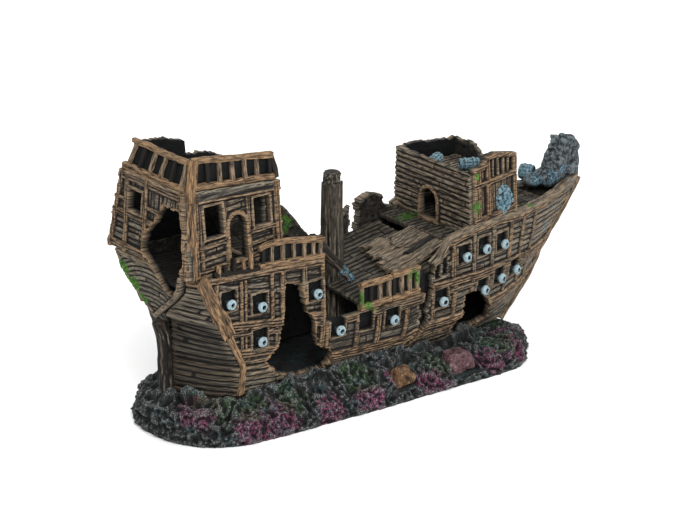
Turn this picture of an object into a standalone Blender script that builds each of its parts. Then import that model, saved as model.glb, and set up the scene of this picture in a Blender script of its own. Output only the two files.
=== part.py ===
"""Sunken galleon ornament with a pull-out air stone cartridge, for an aquarium.

Units in this file are millimetres until a mesh is made. X runs from stern to bow, +Y is port,
+Z is up, and the ornament stands on Z = 0 with X = 0 halfway along it.
"""
import math

import bpy
import bmesh
import numpy as np
from mathutils import Matrix, Vector

MM = 0.001
GAP = 0.3                 # clearance between neighbouring castings
WALL = 3.6                # hull wall, measured across the ship
PANEL = 3.0               # cabin wall thickness
RAIL = 2.3                # rail thickness
DECK = 2.4                # deck thickness

# Hull lines. Each pair is (height, value) or (length, value), and values between are straight.
MIDSHIP_HALF = ((3, 6.0), (8, 14.0), (13, 21.0), (17, 24.5), (24, 29.0), (32, 32.0), (45, 33.5), (62, 33.5),
                (92, 32.5))
STEM_LINE = ((4, 85), (13, 94), (20, 101), (30, 108.5), (40, 115.5), (50, 123.5), (60, 132), (70, 140),
             (79, 144))
TIMBER_LINE = ((14, -112), (29, -113.7), (39.5, -114.5), (52, -121), (66, -127), (79, -134), (93, -140))
TUCK_HALF = ((24, 2.0), (61, 2.0), (64, 4.0), (69, 9.0), (75, 17.0), (82, 24.5), (92, 28.0))
TUCK_LINE = ((14, -132.8), (60, -133.6), (64, -138.1), (92, -141.7))
ENTRY_X = 17.0            # where the bow starts to narrow
ENTRY_POWER = 1.9
RUN_POWER = 1.6
STEM_HALF = 2.0

HULL_FOOT = ((-10, 16.5), (5, 12.3), (28, 7.1), (95, 4.7))
FOOT_Z = 10.0             # height at which the ends of the foot line are read
STERN_END = -60.5
STERN_SHEER = ((-141, 90.5), (-60, 84.0))
MID_SHEER = ((-60, 49.0), (8, 49.0))
BOW_SHEER = ((10, 62), (17, 66), (23, 74), (43, 76.5), (62, 76.5), (81, 74), (100, 73.7), (117, 73.7),
             (144, 77))
PORT_STERN_SHEER = ((-141, 90.5), (-60, 90.0))
PORT_MID_SHEER = ((-60, 90), (-38, 90), (-28, 79), (-19, 68), (-10, 66), (3, 73.6), (8, 79.5))
PORT_BOW_SHEER = ((10, 81), (17.5, 84), (26, 81.5), (29.5, 75), (36, 73.2), (42, 76.4), (62, 76.4), (81, 74),
                  (100, 73.7), (117, 73.7), (144, 77))
CRACK_LINE = ((16, -7), (21, -1), (30, 6), (42, 6), (52, 8.5), (70, 9.5), (85, 10))
CRACK_AFT = 1.5           # the crack's edge on the middle length
CRACK_FORE = 3.0          # and on the bow length

STARBOARD_BREACH = ((-75, 73), (-72, 58.5), (-67, 53), (-66, 41), (-63, 36), (-55.5, 33.5), (-54.2, 29),
                    (-57, 21), (-73, 21), (-87, 27), (-98, 37), (-89, 45.5), (-88, 54), (-86, 63), (-85, 76))
BOW_BREACH = ((38, 40.5), (51, 39.5), (55, 33), (64, 24), (68, 14), (52, 11), (34, 10.5), (33, 24), (36, 28))
PORT_BREACH = ((-106, 41), (-92, 44), (-80, 37), (-84, 27), (-96, 25), (-108, 31))

# Guns: (length, height). Each stands low in its port. The empty port has no gun.
STARBOARD_GUNS = ((-120.7, 74.4), (-101.6, 68.6), (-66.4, 66.9), (-102, 50.1), (-52, 43.4), (-15.8, 40.1),
                  (17.5, 42.1), (33.8, 62.9), (49.1, 63.2), (64.4, 61.5), (49.5, 39.4), (64.4, 41.4),
                  (79.8, 41.2))
EMPTY_PORTS = ((-33.4, 42.4),)
PORT_SIDE_PORTS = ((-120.7, 74.4), (-101.6, 68.6), (-66.4, 66.9), (-102, 50.1), (-52, 43.4), (17.5, 42.1),
                   (33.8, 62.9), (49.1, 63.2), (64.4, 61.5), (64.4, 41.4), (79.8, 41.2))
PORT_RISE = 1.3           # how far a port's middle is above its gun
PORT_WIDTH = 9.0
PORT_HEIGHT = 10.0
PORT_DEPTH = 1.6
GUN_RADIUS = 2.5
GUN_BORE = 1.0
GUN_REACH = 4.4           # how far a muzzle stands out of the hull

TRANSOM_THICK = 3.0
TRANSOM_X = -145.4        # aft face at the wing transom, the widest and aftmost beam of the stern
WING_Z = 92.0
TRANSOM_RAKE = 0.086      # the panel above leans forward
COUNTER_RAKE = -0.128     # and the counter below leans forward going down
RAIL_RAKE = 0.42
TRANSOM_TOP = 134.0
TRANSOM_OUTLINE = ((-34.5, 92.3), (-26.3, TRANSOM_TOP), (26.3, TRANSOM_TOP), (34.5, 92.3))
COUNTER_OUTLINE = ((0, 61.8), (-9, 69), (-17, 75), (-24.5, 82), (-28, 92), (28, 92), (24.5, 82), (17, 75),
                   (9, 69))
STERN_HOLE = ((-10.5, 124.5), (-5, 114.4), (2, 107.5), (4.5, 98), (-3, 92.5), (-9, 85), (-13, 80), (-19, 80),
              (-22, 84), (-26, 92), (-29.5, 99), (-28, 112), (-25, 124))
STERN_WINDOW = ((6.5, 115), (6.5, 126), (17, 126), (17.5, 115))
POOP_TOP = 148.9

CASTLE_FORE = -84.0
CASTLE_HALF = ((85, 31.2), (134, 26.3), (150, 24.7))
CASTLE_TOP = ((-138, 134), (-84, 129.4))
POOP_RAIL_TOP = ((-133, 149.6), (-86, 143.4))
PORT_CASTLE_TOP = ((-137, 148), (-121, 146.5), (-105, 142.5), (-104, 134.5), (-91.5, 133), (-79, 128),
                   (-68, 118), (-61, 99))
QUARTERDECK_TOP = ((-141, 85), (-61, 80.5))

MAST_X = -28.6
MAST_RADIUS = 6.0
MAST_TOP = 115.0
MAIN_DECK_AFT = -36.0
MAIN_DECK_FORE = 26.0
FOREDECK_TOP = 71.5
FOREDECK_END = 112.0

CABIN_AFT = 39.0
CABIN_FORE = 75.0
CABIN_ROOF = 97.0
CABIN_FOOT = 77.0
CABIN_BATTER = 0.05      # the cabin walls lean inward this much for each mm of height

GRILLE_TOP = ((41.9, 107.5), (50, 109), (54, 113), (60, 113.2), (77, 109))
GRILLE_ENDS = (54, 75)    # the grille's row of recesses
GRILLE_FOOT = 100.0
PORT_CABIN_TOP = ((42, 107), (77, 106))
FORECASTLE_AFT_OUTLINE = ((-27, 72), (-27, CABIN_FOOT), (-31, CABIN_FOOT), (-29.5, 105), (29.5, 107),
                          (31, CABIN_FOOT), (27, CABIN_FOOT), (27, 72))
FORECASTLE_FORE_OUTLINE = ((0, 72), (20, 72), (20, CABIN_FOOT), (24.5, CABIN_FOOT), (24, 105.5), (9, 106),
                           (1, 101), (-3, 88))
FORECASTLE_DOOR = (2, 13, 73.5, 90)       # centre, width, foot and top
CASTLE_FRONT_OUTLINE = ((-24.4, 83), (-24.4, 117), (-23.6, 127), (-10, 128.5), (6, 126), (18, 123),
                        (23.8, 124), (24.4, 117), (24.4, 83))
CASTLE_FRONT_DOOR = (0, 14, 87, 106)
BULKHEAD = 2.6            # thickness of the transverse bulkheads
CASTLE_WINDOWS = ((-131, -120, 109, 125), (-101, -91, 109, 123.5))        # aft, fore, foot, top
CASTLE_DOOR = (-111, 10.5, 95, 117.5)
RECESS = 1.3              # depth of the blind recesses between balusters
BALUSTER_HALF = 1.0
MAIN_DECK_TOP = ((MAIN_DECK_AFT, 56), (MAIN_DECK_FORE, 65))
MAIN_DECK_TILT = 0.09     # the deck falls to starboard
TORN_DEPTH = 3.4
TORN_PLANKS = ((-6, -24, 2), (4, -25, 10), (15, -25, 12), (25, -22, 8))   # length, starboard and port edges

# Deck gear. A profile is (length along the axis, radius).
BARREL_PROFILE = ((-5.5, 2.3), (-2.5, 3.1), (2.5, 3.1), (5.5, 2.3))
BARRELS = (((52, 12, 100.4), (1, 0.6, 0)), ((62, -4, 100.4), (1, -0.5, 0)))      # place and run
CASK_PROFILE = ((-4, 3.4), (-1.5, 4.4), (1.5, 4.4), (4, 3.4))
CASK_PLACE = (118, 11.5, 79.6)
CASK_RUN = (0.5, -1, 0)
SHELL_PROFILE = ((0, 6.0), (1.4, 6.4), (2.8, 4.8), (3.6, 2.0))
SHELL_PLACE = (66.0, 85.8)
SPAR_PROFILE = ((0, 2.2), (16, 2.4), (36, 1.8))
SPAR_PLACE = (-57, -18.5, 90)
SPAR_RUN = (0.66, -0.06, -0.75)
LANTERN_PROFILE = ((0, 1.5), (2, 3.4), (9, 3.4), (11.5, 1.2))
LANTERN_PLACE = (-137.5, 35.6, 98)

# The raised beast on the beak, up the neck and down the muzzle.
# Each ring is (length, height, half-thickness, half-breadth).
BEAST_SPINE = ((127.5, 77.0, 6.5, 5.0), (127.5, 81, 8.5, 6.2), (131, 88, 9.0, 6.2), (134.5, 95, 6.4, 5.2),
               (138.5, 96.5, 4.6, 4.2), (142.5, 94.5, 3.4, 3.2))

# Rock base: half-width along its starboard side, and the shelf that carries the hull.
BASE_HALF = ((-146, 7), (-143.5, 18), (-139, 27), (-132, 34.5), (-118, 42), (-97, 45), (-66, 47),
             (-36, 49.5), (-10, 50.5), (16, 51.5), (43, 53.5), (57, 52.5), (68, 46), (77, 35), (84, 23),
             (88, 10))
BASE_PORT_SHARE = 0.92    # the port side of the base is a little narrower
SHELF_HALF = 28.5
SHELF_TOP = 16.2          # height of the shelf under the mast
SHELF_LINE = ((-10, SHELF_TOP), (5, 11.6), (28, 6.4), (95, 4.0))
ROCK_RISE = ((-30, 14.0), (30, 11.0))

# Seats of the two set-in stones: (aft, fore, inner edge, foot).
STONE_SEATS = ((-22, -8, -36, 6), (14, 32, -34, 4.5))

# Air cartridge, on an axis along Y.
AIR_X = -20.0
AIR_Z = 8.4
STONE_RADIUS = 4.0
STONE_Y = (-9.0, 11.0)
TUBE_RADIUS = 2.0
TUBE_BORE = 1.2
BUSH_Y = (37.0, 46.8)
BUSH_RADIUS = 6.4
BORE_RADIUS = 4.6

WOOD = ("resin_wood", (0.115, 0.07, 0.042), 0.72, 0.0)
WOOD_LIGHT = ("resin_wood_trim", (0.30, 0.16, 0.07), 0.66, 0.0)
ROCK = ("resin_rock", (0.05, 0.052, 0.055), 0.78, 0.0)
PATINA = ("resin_patina", (0.30, 0.55, 0.66), 0.6, 0.0)
CERAMIC = ("air_stone_ceramic", (0.22, 0.33, 0.45), 0.9, 0.0)
PLASTIC = ("clear_plastic", (0.75, 0.80, 0.80), 0.3, 0.0)
RUBBER = ("black_rubber", (0.02, 0.02, 0.02), 0.8, 0.0)


def clear_scene():
    for item in list(bpy.data.objects):
        bpy.data.objects.remove(item, do_unlink=True)


def along(table, value):
    """Read a line table at a length or height."""
    keys, values = zip(*table)
    return float(np.interp(value, keys, values))


def material(finish):
    name, colour, roughness, metallic = finish
    found = bpy.data.materials.get(name)
    if found:
        return found
    made = bpy.data.materials.new(name)
    made.use_nodes = True
    shader = made.node_tree.nodes["Principled BSDF"]
    shader.inputs["Base Color"].default_value = (*colour, 1.0)
    shader.inputs["Roughness"].default_value = roughness
    shader.inputs["Metallic"].default_value = metallic
    return made


def add_object(name, points, faces, finish, smooth=False):
    """Make one closed body from points in millimetres."""
    mesh = bpy.data.meshes.new(name)
    body = bmesh.new()
    verts = [body.verts.new(Vector(point) * MM) for point in points]
    for face in faces:
        body.faces.new([verts[index] for index in face])
    bmesh.ops.recalc_face_normals(body, faces=body.faces)
    body.to_mesh(mesh)
    body.free()
    made = bpy.data.objects.new(name, mesh)
    bpy.context.collection.objects.link(made)
    mesh.materials.append(material(finish))
    if smooth:
        mesh.shade_smooth()
        mesh.set_sharp_from_angle(angle=math.radians(40))
    return made


def add_cutter(target, points, faces):
    """Cut a closed shape out of an object, leaving the cutter as a wire guide."""
    cutter = add_object(target.name + ".cutter", points, faces, ROCK)
    cutter.hide_render = True
    cutter.display_type = "WIRE"
    modifier = target.modifiers.new("cut", "BOOLEAN")
    modifier.operation = "DIFFERENCE"
    modifier.solver = "EXACT"
    modifier.object = cutter


def loft(rings):
    """Faces of a closed skin through rings of equal length, with a cap on each end."""
    size = len(rings[0])
    points = [point for ring in rings for point in ring]
    faces = [tuple(range(size)), tuple(range(len(points) - size, len(points)))]
    for row in range(len(rings) - 1):
        for k in range(size):
            a, b = row * size + k, row * size + (k + 1) % size
            faces.append((a, b, b + size, a + size))
    return points, faces


def shell(outer, inner):
    """Faces of a closed wall between two grids of points of the same shape."""
    rows, columns = len(outer), len(outer[0])
    points = [point for row in outer for point in row] + [point for row in inner for point in row]
    offset = rows * columns

    def index(r, c):
        return r * columns + c

    faces = []
    for r in range(rows - 1):
        for c in range(columns - 1):
            quad = (index(r, c), index(r, c + 1), index(r + 1, c + 1), index(r + 1, c))
            faces.append(quad)
            faces.append(tuple(offset + k for k in quad))
    for r in range(rows - 1):
        for c in (0, columns - 1):
            a, b = index(r, c), index(r + 1, c)
            faces.append((a, b, b + offset, a + offset))
    for c in range(columns - 1):
        for r in (0, rows - 1):
            a, b = index(r, c), index(r, c + 1)
            faces.append((a, b, b + offset, a + offset))
    return points, faces


def prism(outline, axis, low, high):
    """An outline pushed along one axis. Its two numbers fill the other two axes in order."""
    def place(pair, at):
        values = list(pair)
        values.insert("XYZ".index(axis), at)
        return tuple(values)
    return loft([[place(pair, low) for pair in outline], [place(pair, high) for pair in outline]])


def box(low, high):
    """A box between two corners."""
    outline = ((low[0], low[1]), (high[0], low[1]), (high[0], high[1]), (low[0], high[1]))
    return prism(outline, "Z", low[2], high[2])


def merged(shapes):
    """Several closed shapes as one list of points and faces."""
    points, faces = [], []
    for shape_points, shape_faces in shapes:
        faces += [tuple(k + len(points) for k in face) for face in shape_faces]
        points += list(shape_points)
    return points, faces


def arched(centre, width, foot, top, steps=8):
    """Outline of an opening with a round head, as (across, height) pairs."""
    half = width / 2
    spring = top - half
    outline = [(centre - half, foot), (centre + half, foot)]
    for k in range(steps + 1):
        turn = math.pi * k / steps
        outline.append((centre + half * math.cos(turn), spring + half * math.sin(turn)))
    return outline


def turned(profile, sides, frame):
    """Rings of a turned shape: profile pairs are (distance along the frame's Z, radius)."""
    rings = []
    for distance, radius in profile:
        ring = []
        for k in range(sides):
            turn = 2 * math.pi * k / sides
            ring.append(frame @ Vector((radius * math.cos(turn), radius * math.sin(turn), distance)))
        rings.append(ring)
    return loft(rings)


def pointing(origin, direction):
    """A frame at origin whose Z axis points along direction."""
    turn = Vector(direction).to_track_quat("Z", "Y").to_matrix().to_4x4()
    return Matrix.Translation(Vector(origin)) @ turn


def half_breadth(x, z):
    """Distance from the centre plane to the hull's outer face."""
    full = along(MIDSHIP_HALF, z)
    timber = along(TIMBER_LINE, z)
    if x < timber:
        end, end_half = along(TUCK_LINE, z), along(TUCK_HALF, z)
        reach = min(max((x - end) / (timber - end), 0.0), 1.0)
        return end_half + (full - end_half) * (1 - (1 - reach) ** RUN_POWER)
    if x > ENTRY_X:
        stem = along(STEM_LINE, z)
        reach = min(max((stem - x) / (stem - ENTRY_X), 0.0), 1.0)
        return STEM_HALF + (full - STEM_HALF) * (1 - (1 - reach) ** ENTRY_POWER)
    return full


def hull_wall(name, side, aft, fore, nominal, sheer, columns, rows):
    """One broken length of the ship's side, from an aft edge line to a fore edge line."""
    outer, inner = [], []
    for c in range(columns + 1):
        reach = c / columns
        length = nominal[0] + (nominal[1] - nominal[0]) * reach
        top = along(sheer, length)
        foot = along(HULL_FOOT, aft(FOOT_Z) + (fore(FOOT_Z) - aft(FOOT_Z)) * reach)
        outer_column, inner_column = [], []
        for r in range(rows + 1):
            z = foot + (top - foot) * r / rows
            x = aft(z) + (fore(z) - aft(z)) * reach
            half = half_breadth(x, z)
            outer_column.append((x, side * half, z))
            inner_column.append((x, side * max(half - WALL, GAP), z))
        outer.append(outer_column)
        inner.append(inner_column)
    return add_object(name, *shell(outer, inner), WOOD)


def side_frame(x, z, side):
    """A frame on the hull's outer face: X along the ship, Y up, Z outward."""
    slope = (half_breadth(x + 2, z) - half_breadth(x - 2, z)) / 4
    outward = Vector((-slope, side, 0)).normalized()
    up = Vector((0, 0, 1))
    forward = up.cross(outward)
    turn = Matrix((forward, up, outward)).transposed().to_4x4()
    return Matrix.Translation((x, side * half_breadth(x, z), z)) @ turn


def port_recess(x, z, side):
    """The blind square recess behind one gun port."""
    frame = side_frame(x, z + PORT_RISE, side)
    low = (-PORT_WIDTH / 2, -PORT_HEIGHT / 2, -PORT_DEPTH)
    points, faces = box(low, (PORT_WIDTH / 2, PORT_HEIGHT / 2, 4))
    return [frame @ Vector(point) for point in points], faces


def cut_ports(hull, ports, side, low, high):
    """Cut the gun ports whose length lies between low and high."""
    recesses = [port_recess(x, z, side) for x, z in ports if low < x < high]
    add_cutter(hull, *merged(recesses))


def make_hull():
    lengths = {
        "stern": (lambda z: along(TUCK_LINE, z), lambda z: STERN_END, (-141, STERN_END), 15, 9),
        "middle": (lambda z: STERN_END + GAP, lambda z: along(CRACK_LINE, z) - CRACK_AFT, (-60, 8), 12, 6),
        "bow": (lambda z: along(CRACK_LINE, z) + CRACK_FORE, lambda z: along(STEM_LINE, z), (10, 144), 18,
                9),
    }
    sheers = {
        "starboard": (-1, STERN_SHEER, MID_SHEER, BOW_SHEER, STARBOARD_GUNS + EMPTY_PORTS),
        "port": (1, PORT_STERN_SHEER, PORT_MID_SHEER, PORT_BOW_SHEER, PORT_SIDE_PORTS),
    }
    spans = {"stern": (-150, STERN_END), "middle": (STERN_END, 8), "bow": (8, 150)}
    hulls = {}
    for side_name, (side, stern, middle, bow, ports) in sheers.items():
        for part_name, sheer in (("stern", stern), ("middle", middle), ("bow", bow)):
            aft, fore, nominal, columns, rows = lengths[part_name]
            name = f"hull_{part_name}_{side_name}"
            hull = hull_wall(name, side, aft, fore, nominal, sheer, columns, rows)
            cut_ports(hull, ports, side, *spans[part_name])
            hulls[name] = hull
    for name in ("hull_stern_starboard", "hull_middle_starboard"):
        add_cutter(hulls[name], *prism(STARBOARD_BREACH, "Y", -40, -20))
    add_cutter(hulls["hull_bow_starboard"], *prism(BOW_BREACH, "Y", -40, -8))
    add_cutter(hulls["hull_bow_port"], *prism(BOW_BREACH, "Y", 8, 40))
    add_cutter(hulls["hull_stern_port"], *prism(PORT_BREACH, "Y", 20, 40))


def make_guns():
    back = -PORT_DEPTH + GAP
    profile = ((back, 2.0), (back + 1.5, GUN_RADIUS), (GUN_REACH - 1.2, 1.9), (GUN_REACH, GUN_RADIUS),
               (GUN_REACH, GUN_BORE), (GUN_REACH - 2.5, GUN_BORE))
    drop = Matrix.Translation((0, -PORT_RISE, 0))
    for number, (x, z) in enumerate(STARBOARD_GUNS, 1):
        shape = turned(profile, 14, side_frame(x, z + PORT_RISE, -1) @ drop)
        add_object(f"gun_{number:02d}", *shape, PATINA, smooth=True)


def beam(path, width, depth):
    """A rectangular bar through points, wide across Y and deep in the XZ plane."""
    rings = []
    for k, point in enumerate(path):
        before, after = Vector(path[max(k - 1, 0)]), Vector(path[min(k + 1, len(path) - 1)])
        run = (after - before).normalized()
        rise = Vector((0, 1, 0)).cross(run).normalized() * depth / 2
        across = Vector((0, width / 2, 0))
        middle = Vector(point)
        rings.append([middle - rise - across, middle + rise - across, middle + rise + across,
                      middle - rise + across])
    return loft(rings)


def make_posts():
    sternpost = [(-135.6, 0, 17), (-136.0, 0, 32), (-136.3, 0, 45), (-137.2, 0, 52), (-139.6, 0, 59)]
    add_object("sternpost", *beam(sternpost, 4.4, 4.2), WOOD_LIGHT)
    stem = [(along(STEM_LINE, z) + 2.4, 0, z) for z in (6, 13, 20, 30, 40, 50, 60, 69, 74)]
    add_object("stem_post", *beam(stem, 4.4, 3.0), WOOD_LIGHT)
    for side, name in ((-1, "quarter_timber_starboard"), (1, "quarter_timber_port")):
        path = [(along(TIMBER_LINE, z) + 1.5, z) for z in (22, 30, 40, 46, 52, 59, 66, 73, 80, 86)]
        bar = [(x, side * (half_breadth(x + 2.5, z) + 1.5), z) for x, z in path]
        add_object(name, *beam(bar, 2.0, 4.5), WOOD_LIGHT)


def wall(low_line, high_line, stations, half, thickness, side):
    """A fore-and-aft wall between two edge lines. A station is (length at the foot, length at the top)."""
    rings = []
    for low_x, high_x in stations:
        low, high = low_line(low_x), high_line(high_x)
        rings.append([(low_x, side * half(low_x, low), low), (high_x, side * half(high_x, high), high),
                      (high_x, side * (half(high_x, high) - thickness), high),
                      (low_x, side * (half(low_x, low) - thickness), low)])
    return loft(rings)


def upright(*lengths):
    """Stations of a wall whose ends are plumb."""
    return [(length, length) for length in lengths]


def castle_half(x, z):
    return along(CASTLE_HALF, z)


def raked(shape, rake, pivot=WING_Z):
    """Lean a transverse panel: its points move along X in proportion to their height."""
    points, faces = shape
    return [(x + rake * (z - pivot), y, z) for x, y, z in points], faces


def make_transom():
    fore = TRANSOM_X + TRANSOM_THICK
    upper_shape = raked(prism(TRANSOM_OUTLINE, "X", TRANSOM_X, fore), TRANSOM_RAKE)
    upper = add_object("transom_panel", *upper_shape, WOOD)
    add_cutter(upper, *merged([prism(STERN_HOLE, "X", -155, -130), prism(STERN_WINDOW, "X", -155, -130)]))
    counter_shape = prism(COUNTER_OUTLINE, "X", TRANSOM_X, fore)
    counter = add_object("counter_panel", *raked(counter_shape, COUNTER_RAKE), WOOD)
    add_cutter(counter, *prism(STERN_HOLE, "X", -155, -130))


def make_castle():
    def foot(x):
        return along(STERN_SHEER, x) + GAP

    def port_foot(x):
        return along(PORT_STERN_SHEER, x) + GAP

    def starboard_top(x):
        return along(CASTLE_TOP, x)

    def port_top(x):
        return along(PORT_CASTLE_TOP, x)

    stations = [(-141.9, -138.2), (-114, -112), (CASTLE_FORE, CASTLE_FORE)]
    shape = wall(foot, starboard_top, stations, castle_half, PANEL, -1)
    starboard = add_object("castle_wall_starboard", *shape, WOOD)
    openings = [box((aft, -35, low), (fore, -20, high)) for aft, fore, low, high in CASTLE_WINDOWS]
    openings.append(prism(arched(*CASTLE_DOOR), "Y", -35, -20))
    add_cutter(starboard, *merged(openings))
    stations = [(-141.9, -132.6)] + upright(-121, -105, -104, -91.5, -79, -68, -61)
    add_object("castle_wall_port", *wall(port_foot, port_top, stations, castle_half, PANEL, 1), WOOD)
    front = add_object("castle_front_wall", *prism(CASTLE_FRONT_OUTLINE, "X", -92.5, -90), WOOD)
    add_cutter(front, *prism(arched(*CASTLE_FRONT_DOOR), "X", -95, -88))


def make_decks():
    def deck(name, stations, top_line, tilt=0.0, finish=WOOD):
        rings = []
        for x in stations:
            top = along(top_line, x)
            half = min(half_breadth(x, top), half_breadth(x, top - DECK - 4)) - WALL - 0.7
            rings.append([(x, -half, top - tilt * half), (x, half, top + tilt * half),
                          (x, half, top + tilt * half - DECK), (x, -half, top - tilt * half - DECK)])
        return add_object(name, *loft(rings), finish)

    deck("quarterdeck", (-140.3, -132, -120, -90, -61.2), QUARTERDECK_TOP)
    main = deck("main_deck", (MAIN_DECK_AFT, -5, 17, MAIN_DECK_FORE), MAIN_DECK_TOP, MAIN_DECK_TILT)
    radius = MAST_RADIUS + 2 * GAP
    add_cutter(main, *turned(((-30, radius), (30, radius)), 20, pointing((MAST_X, 0, 58), (0, 0, 1))))
    deck("foredeck", (26.8, 40, 55, 70, 85, 100, FOREDECK_END), ((0, FOREDECK_TOP), (200, FOREDECK_TOP)))
    rings = []
    for x, low, high in TORN_PLANKS:
        low_z = along(MAIN_DECK_TOP, x) + MAIN_DECK_TILT * low + GAP
        high_z = along(MAIN_DECK_TOP, x) + MAIN_DECK_TILT * high + GAP
        rings.append([(x, low, low_z + TORN_DEPTH), (x, high, high_z + TORN_DEPTH), (x, high, high_z),
                      (x, low, low_z)])
    add_object("torn_deck_planks", *loft(rings), WOOD_LIGHT)


def rail_recesses(edges, face, low_line, high_line):
    """Blind recesses between the balusters of a starboard rail. face(x, z) is its outer half-breadth."""
    shapes = []
    for start, end in zip(edges, edges[1:]):
        middle = (start + end) / 2
        half = (end - start) / 2 - BALUSTER_HALF
        low, high = low_line(middle), high_line(middle)
        back = RECESS - face(middle, (low + high) / 2)
        shapes.append(box((middle - half, back - 8, low), (middle + half, back, high)))
    return merged(shapes)


def side_rail(name, ends, count, foot, top, half):
    """A starboard rail with a row of blind recesses between its foot beam and its cap."""
    edges = np.linspace(ends[0][0] + 2, ends[-1][0], count + 1)
    rail = add_object(name, *wall(foot, top, ends, half, RAIL, -1), WOOD_LIGHT)
    add_cutter(rail, *rail_recesses(edges, half, lambda x: foot(x) + 3.0, lambda x: top(x) - 3.0))


def make_rails():
    foot, half = TRANSOM_TOP + GAP, 25.8
    outline = ((-half, foot), (-half + 2.6, POOP_TOP), (half - 2.6, POOP_TOP), (half, foot))
    aft = TRANSOM_X + TRANSOM_RAKE * (TRANSOM_TOP - WING_Z)
    across = add_object("poop_rail_transom", *raked(prism(outline, "X", aft, aft + RAIL), RAIL_RAKE, foot),
                        WOOD_LIGHT)
    edges = np.linspace(-22, 22, 6)
    recesses = []
    for start, end in zip(edges, edges[1:]):
        shape = box((aft - 8, start + BALUSTER_HALF, 138), (aft + RECESS, end - BALUSTER_HALF, 145.5))
        recesses.append(raked(shape, RAIL_RAKE, foot))
    add_cutter(across, *merged(recesses))
    ends = [(-138.4, -132.0), (-112, -110), (-86, -86)]
    side_rail("poop_rail_starboard", ends, 6, lambda x: along(CASTLE_TOP, x) + GAP,
              lambda x: along(POOP_RAIL_TOP, x), castle_half)

    def sheer_foot(x):
        return along(STERN_SHEER, x) + GAP

    side_rail("quarter_rail_starboard", upright(-101, -80, -61), 5, sheer_foot,
              lambda x: along(((-101, 99.5), (-61, 96)), x), lambda x, z: 33.9)

    def waist_foot(x):
        return 49 + GAP

    for name, start, end, top in (("waist_rail_aft", -36.5, -16, 64.5), ("waist_rail_fore", -15.3, 3, 65.0)):
        side_rail(name, upright(start, (start + end) / 2, end), 3, waist_foot, lambda x: top,
                  lambda x, z: half_breadth(0, 49))


def make_forecastle():
    shape = prism(FORECASTLE_AFT_OUTLINE, "X", CABIN_AFT, CABIN_AFT + BULKHEAD)
    aft = add_object("forecastle_aft_wall", *shape, WOOD)
    add_cutter(aft, *prism(arched(*FORECASTLE_DOOR), "X", CABIN_AFT - 3, CABIN_AFT + 5))

    def cabin_half(x, z):
        return half_breadth(x, 75) - 0.5 - CABIN_BATTER * (z - CABIN_FOOT)

    def foot(x):
        return CABIN_FOOT

    start = CABIN_AFT + BULKHEAD + GAP
    stations = upright(start, 50, 54, 60, 68, 77)
    shape = wall(foot, lambda x: along(GRILLE_TOP, x), stations, cabin_half, PANEL, -1)
    grille = add_object("forecastle_grille_wall", *shape, WOOD_LIGHT)
    edges = np.linspace(*GRILLE_ENDS, 6)
    recesses = rail_recesses(edges, cabin_half, lambda x: GRILLE_FOOT, lambda x: along(GRILLE_TOP, x) - 2.5)
    add_cutter(grille, *recesses)
    stations = upright(start, 50, 61, CABIN_FORE - GAP)
    shape = wall(foot, lambda x: along(PORT_CABIN_TOP, x), stations, cabin_half, PANEL, 1)
    add_object("forecastle_port_wall", *shape, WOOD)
    shape = prism(FORECASTLE_FORE_OUTLINE, "X", CABIN_FORE, CABIN_FORE + BULKHEAD)
    add_object("forecastle_fore_wall", *shape, WOOD)
    rings = []
    for x in (start + 0.2, 50, 61, CABIN_FORE - 0.6):
        half = cabin_half(x, CABIN_ROOF) - PANEL - 0.7
        rings.append([(x, -half, CABIN_ROOF), (x, half, CABIN_ROOF), (x, half, CABIN_ROOF - 2),
                      (x, -half, CABIN_ROOF - 2)])
    add_object("forecastle_roof", *loft(rings), WOOD)


def make_mast():
    profile = ((0, 6.6), (12, MAST_RADIUS), (MAST_TOP - 26, MAST_RADIUS - 0.3), (MAST_TOP - 21, 4.6),
               (MAST_TOP - SHELF_TOP - GAP, 4.2))
    shape = turned(profile, 16, pointing((MAST_X, 0, SHELF_TOP + GAP), (0, 0, 1)))
    add_object("mast_stump", *shape, WOOD, smooth=True)


def make_figurehead():
    """A raised beast's head on the beak: rings up the neck, over the brow and down the muzzle."""
    rings = []
    for k, (x, z, thick, half) in enumerate(BEAST_SPINE):
        before, after = BEAST_SPINE[max(k - 1, 0)], BEAST_SPINE[min(k + 1, len(BEAST_SPINE) - 1)]
        run = Vector((after[0] - before[0], 0, after[1] - before[1])).normalized()
        if k == 0:
            run = Vector((0, 0, 1))
        rise = Vector((0, 1, 0)).cross(run)
        ring = []
        for n in range(12):
            turn = 2 * math.pi * n / 12
            ring.append(Vector((x, 0, z)) + rise * thick * math.cos(turn)
                        + Vector((0, 1, 0)) * half * math.sin(turn))
        rings.append(ring)
    add_object("figurehead", *loft(rings), PATINA, smooth=True)


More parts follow.
